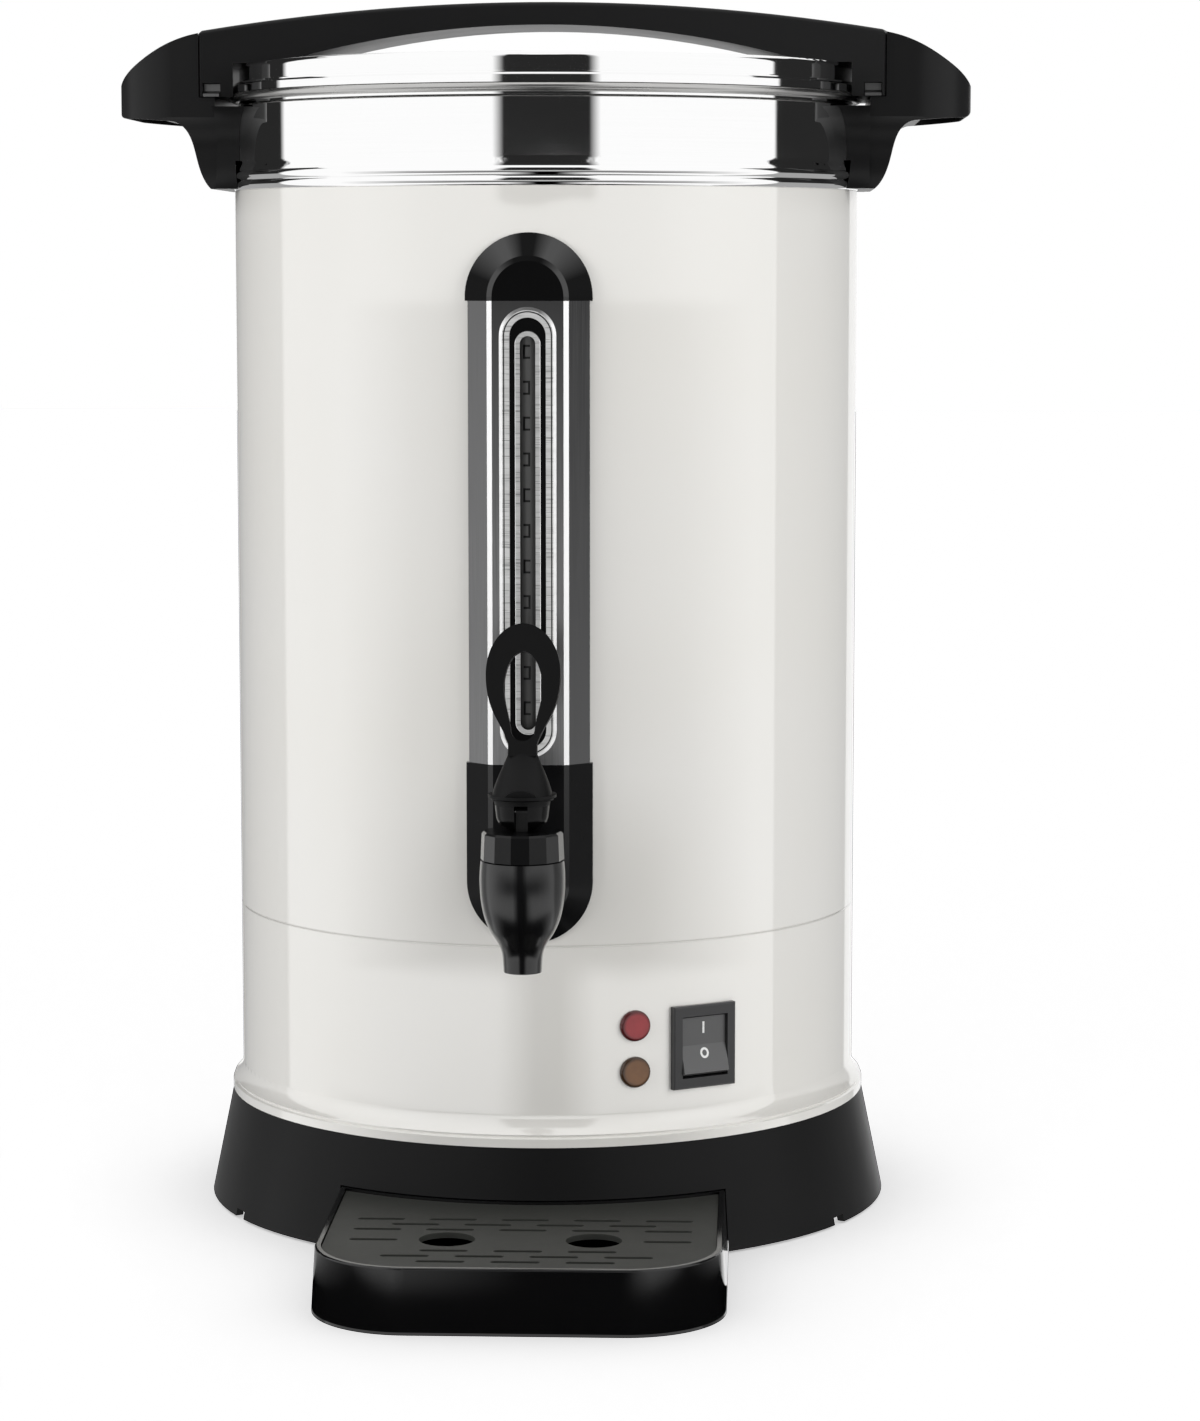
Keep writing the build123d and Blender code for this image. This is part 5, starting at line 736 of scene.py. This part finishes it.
class URN_OT_brightwork(bpy.types.Operator):
    """Polish the collar, the lid and the tank's rim"""

    bl_idname = "urn.brightwork"
    bl_label = "Collar and lid"

    def execute(self, context):
        look = context.scene.urn_finishes
        dress(polished("polished collar", look.bright, depth=0.0000006, fade=0.99), "collar", "lid")
        dress(polished("satin tank steel", look.steel, roughness=0.22, fineness=1500.0, depth=0.000004, cloud=0.08),
              "tank")
        return {"FINISHED"}


class URN_OT_grips(bpy.types.Operator):
    """Mould the side grips, their brackets and the lid's arched handle"""

    bl_idname = "urn.grips"
    bl_label = "Grips and lid handle"

    def execute(self, context):
        look = context.scene.urn_finishes
        black = moulded("satin black grip", look.grip, roughness=0.34, grain=0.00045, depth=0.000012, rubbed=0.2,
                        dust_and_seam_shade=0.02, specular=0.22)
        dress(black, "handle_left", "handle_right", "bracket_left", "bracket_right", "lid_handle")
        dress(polished("dull lock tab", (0.22, 0.22, 0.22), roughness=0.34, turned=False, depth=0.000004), "lock_tabs")
        return {"FINISHED"}


class URN_OT_gauge(bpy.types.Operator):
    """Finish the gauge housing, shield, frame and tube, and print its marks"""

    bl_idname = "urn.gauge"
    bl_label = "Gauge"

    def execute(self, context):
        look = context.scene.urn_finishes
        bright, satin = look.bright, look.satin
        dress(housing_black("gauge cap black", look.housing, specular=0.09), "gauge_cap")
        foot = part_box("gauge_lower_housing")[0].z
        fade = [foot + height for height in BEVEL_FADE]
        dress(housing_black("gauge housing black", scaled(look.housing, 2.2), 0.13, *fade), "gauge_lower_housing")
        low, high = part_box("gauge_shield")
        dress(bevelled_shield("brushed shield", look.shield, bright, low.z, high.z), "gauge_shield")
        dress(ribbed_ring("ribbed gauge frame", bright, satin, 0.00002, "gauge_frame", FRAME_GROOVE), "gauge_frame")
        dress(ribbed_ring("satin sight rim", bright, scaled(satin, 0.8), 0.00001, "gauge_rim"), "gauge_rim")
        dress(moulded("channel black", look.housing, roughness=0.45, rubbed=0.1, specular=0.1), "gauge_channel")
        dress(smoked_tube("smoked sight tube", look.sight_tube), "gauge_tube")
        dress(rubber_like("seal rubber", (0.03, 0.03, 0.03), 0.6), "gauge_seals")
        gauge_marks(context.scene.urn_details, print_ink("gauge mark black", (0.004, 0.004, 0.004)))
        return {"FINISHED"}


class URN_OT_tap(bpy.types.Operator):
    """Finish the tap, its lever and its working parts"""

    bl_idname = "urn.tap"
    bl_label = "Tap"

    def execute(self, context):
        look = context.scene.urn_finishes
        dress(tap_gloss("satin black tap", look.tap_black, low=0.05, high=0.17), "tap_body")
        dress(tap_gloss("satin black bonnet", look.tap_black, low=0.10, high=0.75), "tap_bonnet")
        hub_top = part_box("tap_lever")[1].z - HUB_DEPTH
        dress(matte_lever("matte black lever", look.lever_black, hub_top), "tap_lever")
        dress(moulded("black stem", look.grip, roughness=0.22, grain=0.0005, depth=0.000006), "tap_stem")
        dress(polished("pin steel", (0.72, 0.72, 0.71), roughness=0.12, turned=False, stretch=(60.0, 4000.0, 4000.0)),
              "tap_pivot_pin")
        dress(polished("plated shank", (0.74, 0.735, 0.72), roughness=0.14, turned=False,
                       stretch=(3000.0, 60.0, 3000.0)), "tap_shank", "tap_nut")
        dress(polished("spring steel", (0.52, 0.515, 0.50), roughness=0.2, turned=False, stretch=(900.0, 900.0, 900.0)),
              "tap_spring")
        dress(rubber_like("white silicone", (0.62, 0.61, 0.58), 0.5), "tap_seat_cup", "tap_washers")
        return {"FINISHED"}


class URN_OT_switch_panel(bpy.types.Operator):
    """Finish the rocker switch, the two lamps and the inlet"""

    bl_idname = "urn.switch_panel"
    bl_label = "Switch and lamps"

    def execute(self, context):
        look = context.scene.urn_finishes
        dress(moulded("switch bezel", look.switch, roughness=0.28, depth=0.000006, rubbed=0.5, edge=0.0007),
              "switch_housing")
        dress(moulded("rocker grey", look.rocker, roughness=0.30, depth=0.000006, rubbed=0.4), "switch_rocker")
        dress(lens("red lens", look.red_lens, "lamp_red"), "lamp_red")
        dress(lens("amber lens", look.amber_lens, "lamp_amber"), "lamp_amber")
        switch_marks(context.scene.urn_details, print_ink("switch mark white", (0.80, 0.80, 0.79)))
        dress(polished("spring clip steel", (0.55, 0.55, 0.54), roughness=0.25, turned=False), "lamp_clips")
        dress(moulded("inlet black", look.skirt, roughness=0.35), "power_inlet")
        dress(polished("inlet pin brass", (0.72, 0.56, 0.29), roughness=0.2, turned=False), "inlet_pins")
        return {"FINISHED"}


class URN_OT_base(bpy.types.Operator):
    """Finish the base skirt, the base plate, the feet and the drip tray"""

    bl_idname = "urn.base"
    bl_label = "Base and drip tray"

    def execute(self, context):
        look = context.scene.urn_finishes
        dress(moulded("base black", look.skirt, roughness=0.36, grain=0.0006, rubbed=0.1, specular=0.16),
              "base_skirt")
        dress(moulded("gloss black tray", look.tray_black, roughness=0.10, grain=0.0006, depth=0.000003, rubbed=0.15,
                      gloss_change=0.03, specular=0.6), "drip_tray")
        dress(moulded("matte tray cover", look.tray_cover, roughness=0.55, depth=0.00002, rubbed=0.4, dust_and_seam_shade=0.05),
              "drip_cover")
        dress(rubber_like("foot rubber", (0.02, 0.02, 0.02)), "rubber_feet")
        dress(polished("galvanised plate", (0.55, 0.55, 0.55), roughness=0.34, turned=False, depth=0.000008,
                       stretch=(160.0, 160.0, 160.0)), "base_plate")
        return {"FINISHED"}


class URN_OT_inside(bpy.types.Operator):
    """Finish the heater, the thermostats, the pump tube and the basket"""

    bl_idname = "urn.inside"
    bl_label = "Inside parts"

    def execute(self, context):
        look = context.scene.urn_finishes
        cast = polished("cast aluminium", (0.62, 0.63, 0.64), roughness=0.38, turned=False, depth=0.00003,
                        stretch=(700.0, 700.0, 700.0))
        dress(cast, "heater_plate", "heater_ring")
        dress(polished("spun basket steel", look.steel, roughness=0.20, fineness=1800.0, depth=0.000004, cloud=0.08),
              "coffee_basket", "basket_cover", "pump_tube")
        dress(polished("cut-out steel", (0.6, 0.59, 0.57), roughness=0.3, turned=False), "thermostat", "thermal_cutout")
        return {"FINISHED"}


class URN_OT_fixings(bpy.types.Operator):
    """Finish the screws, the tie rods and their nuts"""

    bl_idname = "urn.fixings"
    bl_label = "Fixings"

    def execute(self, context):
        zinc = polished("zinc fixing", (0.66, 0.66, 0.65), roughness=0.24, turned=False, depth=0.000004,
                        stretch=(900.0, 900.0, 900.0))
        dress(zinc, "base_screws", "lid_screws", "handle_screws", "tie_rods", "tie_nuts")
        return {"FINISHED"}


# ---------------------------------------------------------------------------
# Stage
# ---------------------------------------------------------------------------

def stage_sheet(name, points, faces, material):
    """A flat or curved sheet of the stage."""
    mesh = bpy.data.meshes.new(name)
    mesh.from_pydata(points, [], faces)
    mesh.materials.append(material)
    sheet = add_object(name, mesh)
    return sheet


def floor_material():
    """Pale paper; as a shadow catcher the floor shows the white room with the urn's shadow on it."""
    material, bench, shader = start_material("pale floor")
    paper = bench.ramp(bench.noise(bench.place(), 900.0, 3.0, 0.6), 0.3, 0.7, 0.84, 0.88)
    set_all(bench, shader, Base_Color=bench.join(paper, paper, paper), Roughness=0.9, Specular_IOR_Level=0.0)
    return material


def card(name, middle, reach, near, far, material, steps):
    """A card that shows in polished surfaces only, swept round the urn by reach to both sides of its middle heading.
    Headings run from the front towards +X; near and far are the (radius, height) of its long edges."""
    points = []
    for radius, height in (near, far):
        for k in range(steps + 1):
            turn = middle - reach + 2 * reach * k / steps
            points.append((radius * math.sin(turn), -radius * math.cos(turn), height))
    faces = [(k, k + 1, k + steps + 2, k + steps + 1) for k in range(steps)]
    sheet = stage_sheet(name, points, faces, material)
    sheet.visible_camera = False
    sheet.visible_diffuse = False
    sheet.visible_shadow = False


def soft_card(name, middle, inner, outer, dark=0.02, cloth=False, low_tone=0.0):
    """The finish of a dark card that pales away from its middle heading. low_tone lifts it below the collar; a cloth
    pales again close to the urn and, straight ahead, far from it."""
    material = bpy.data.materials.new(name)
    bench = fresh_bench(material)
    output = bench.node("ShaderNodeOutputMaterial")
    place = bench.place()
    x, y, z = bench.split(place)
    turn = bench.math("ARCTAN2", x, bench.math("MULTIPLY", y, -1.0))
    aside = bench.math("ABSOLUTE", bench.math("SUBTRACT", turn, middle))
    tone = bench.ramp(aside, inner, outer, dark, 1.0)
    if low_tone > 0.0:
        tone = bench.math("MAXIMUM", tone, bench.ramp(z, 0.44, 0.47, low_tone, dark))
    if cloth:
        away = bench.vector("LENGTH", place)
        distant = bench.ramp(aside, math.radians(50.0), math.radians(80.0), 0.46, 1.0)
        tone = bench.ramp(bench.ramp(away, 1.2, 1.6), 0.0, 1.0, tone, distant)
        close = bench.math("MULTIPLY", bench.ramp(away, 0.72, 0.80, 1.0, 0.0), bench.ramp(away, 0.34, 0.40))
        close = bench.math("MULTIPLY", close, bench.ramp(aside, math.radians(4.0), math.radians(16.0)))
        tone = bench.math("MAXIMUM", tone, close)
    glow = bench.node("ShaderNodeEmission")
    bench.feed(glow.inputs["Color"], (1.0, 1.0, 1.0))
    bench.feed(glow.inputs["Strength"], tone)
    bench.feed(output.inputs["Surface"], glow.outputs[0])
    return material


def only_on(light, piece, included):
    """Keeps a light to one piece, or off it."""
    group = bpy.data.collections.new(f"{light.name}_{piece.name}")
    group.objects.link(piece)
    light.light_linking.receiver_collection = group
    group.collection_objects[0].light_linking.link_state = "INCLUDE" if included else "EXCLUDE"


def lay_floor():
    """A wide floor that shows nothing but the urn's shadow."""
    half = 9.0
    corners = [(-half, -half, 0.0), (half, -half, 0.0), (half, half, 0.0), (-half, half, 0.0)]
    floor = stage_sheet("floor", corners, [(0, 1, 2, 3)], floor_material())
    floor.is_shadow_catcher = True
    floor.visible_glossy = False
    return floor


def paint_room(scene, surround):
    """White to the camera, polished metal and clear plastic; a soft surround to everything else."""
    scene.world = bpy.data.worlds.new("white room")
    bench = fresh_bench(scene.world)
    paths = bench.node("ShaderNodeLightPath")
    sharp = bench.math("ADD", paths.outputs["Is Camera Ray"], paths.outputs["Is Glossy Ray"])
    sharp = bench.math("ADD", sharp, paths.outputs["Is Transmission Ray"], clamp=True)
    glint_and_backdrop = bench.node("ShaderNodeBackground")
    bench.feed(glint_and_backdrop.inputs["Color"], (1.0, 1.0, 1.0))
    bench.feed(glint_and_backdrop.inputs["Strength"], bench.ramp(sharp, 0.0, 1.0, surround, 1.0))
    bench.feed(bench.node("ShaderNodeOutputWorld").inputs["Surface"], glint_and_backdrop.outputs[0])


def hang_cards(front_half):
    """A dark card over the camera, one on each side behind the urn, and a dark cloth in front of it."""
    soft_edge = math.radians(2.0)
    reach = front_half + soft_edge
    felt = soft_card("front felt", CAMERA_HEADING, front_half - soft_edge, reach)
    away, low, high = 2.6, 0.46, 3.2
    card("front_card", CAMERA_HEADING, reach, (away, low), (away, high), felt, steps=12)

    reach = math.radians(29.0)
    away, low, high = 2.4, -3.0, 2.6
    for side, heading, solid in (("left", -135.0, 26.0), ("right", 121.7, 27.5)):
        felt = soft_card(f"{side} felt", math.radians(heading), math.radians(solid), reach, low_tone=0.36)
        card(f"rear_card_{side}", math.radians(heading), reach, (away, low), (away, high), felt, steps=12)

    reach = math.radians(78.0)
    near, far, height = 0.19, 40.0, 0.001
    cloth = soft_card("table cloth", CAMERA_HEADING, math.radians(34.0), reach, dark=0.0, cloth=True)
    card("table_card", CAMERA_HEADING, reach, (near, height), (far, height), cloth, steps=40)


def place_lamps(floor, power, wash_strength):
    """Two soft lamps that leave the floor out, and an even wash that takes in only the floor."""
    wash = bpy.data.lights.new("floor_wash", "SUN")
    wash.energy = wash_strength
    wash.use_shadow = False
    holder = add_object("floor_wash", wash)
    holder.location = (0.0, 0.0, 3.0)
    only_on(holder, floor, True)
    aim = Vector((0.0, 0.0, 0.25))
    for side in (-1, 1):
        lamp = bpy.data.lights.new(f"side_lamp_{side}", "AREA")
        lamp.shape = "RECTANGLE"
        lamp.size = 1.3
        lamp.size_y = 1.8
        lamp.energy = power
        holder = add_object(lamp.name, lamp)
        holder.location = (1.95 * side, -1.125, 0.85)
        holder.rotation_euler = (aim - holder.location).to_track_quat("-Z", "Y").to_euler()
        holder.visible_glossy = False
        only_on(holder, floor, False)


def place_camera(scene, setup):
    """The camera, where the stage's settings put it."""
    camera = bpy.data.cameras.new("camera")
    camera.lens = setup.camera_lens
    camera.sensor_width = 36.0
    camera.clip_start = 0.05
    camera.clip_end = 60.0
    holder = add_object("camera", camera)
    turn, pitch = setup.camera_turn, setup.camera_pitch
    look = Vector((-math.sin(turn) * math.cos(pitch), math.cos(turn) * math.cos(pitch), -math.sin(pitch)))
    holder.location = Vector(setup.camera_place)
    holder.rotation_euler = look.to_track_quat("-Z", "Y").to_euler()
    scene.camera = holder


class URN_OT_stage(bpy.types.Operator):
    """Set up the floor, the white room, the cards, the lamps and the camera"""

    bl_idname = "urn.stage"
    bl_label = "Stage"

    def execute(self, context):
        scene = context.scene
        setup = scene.urn_stage
        scene.view_settings.view_transform = "Standard"
        floor = lay_floor()
        paint_room(scene, setup.surround)
        hang_cards(setup.card_half_angle)
        place_lamps(floor, setup.lamp_power, setup.floor_wash)
        place_camera(scene, setup)
        return {"FINISHED"}


STEPS = (
    URN_OT_stage,
    URN_OT_jackets,
    URN_OT_brightwork,
    URN_OT_grips,
    URN_OT_gauge,
    URN_OT_tap,
    URN_OT_switch_panel,
    URN_OT_base,
    URN_OT_inside,
    URN_OT_fixings,
)


class URN_PT_panel(bpy.types.Panel):
    """Lists the urn's steps and settings"""

    bl_idname = "URN_PT_panel"
    bl_label = "Coffee Urn"
    bl_space_type = "VIEW_3D"
    bl_region_type = "UI"
    bl_category = "Urn"

    def draw(self, context):
        for step in STEPS:
            self.layout.operator(step.bl_idname)
        for settings in (context.scene.urn_finishes, context.scene.urn_details, context.scene.urn_stage):
            box = self.layout.box()
            for name in settings.__annotations__:
                box.prop(settings, name)


CLASSES = (UrnFinishes, UrnDetails, UrnStage, *STEPS, URN_PT_panel)


def register():
    for cls in CLASSES:
        bpy.utils.register_class(cls)
    bpy.types.Scene.urn_finishes = bpy.props.PointerProperty(type=UrnFinishes)
    bpy.types.Scene.urn_details = bpy.props.PointerProperty(type=UrnDetails)
    bpy.types.Scene.urn_stage = bpy.props.PointerProperty(type=UrnStage)


def unregister():
    del bpy.types.Scene.urn_stage
    del bpy.types.Scene.urn_details
    del bpy.types.Scene.urn_finishes
    for cls in reversed(CLASSES):
        bpy.utils.unregister_class(cls)


def main():
    """Runs every step."""
    register()
    for step in STEPS:
        family, name = step.bl_idname.split(".")
        getattr(getattr(bpy.ops, family), name)()


if __name__ == "__main__":
    main()
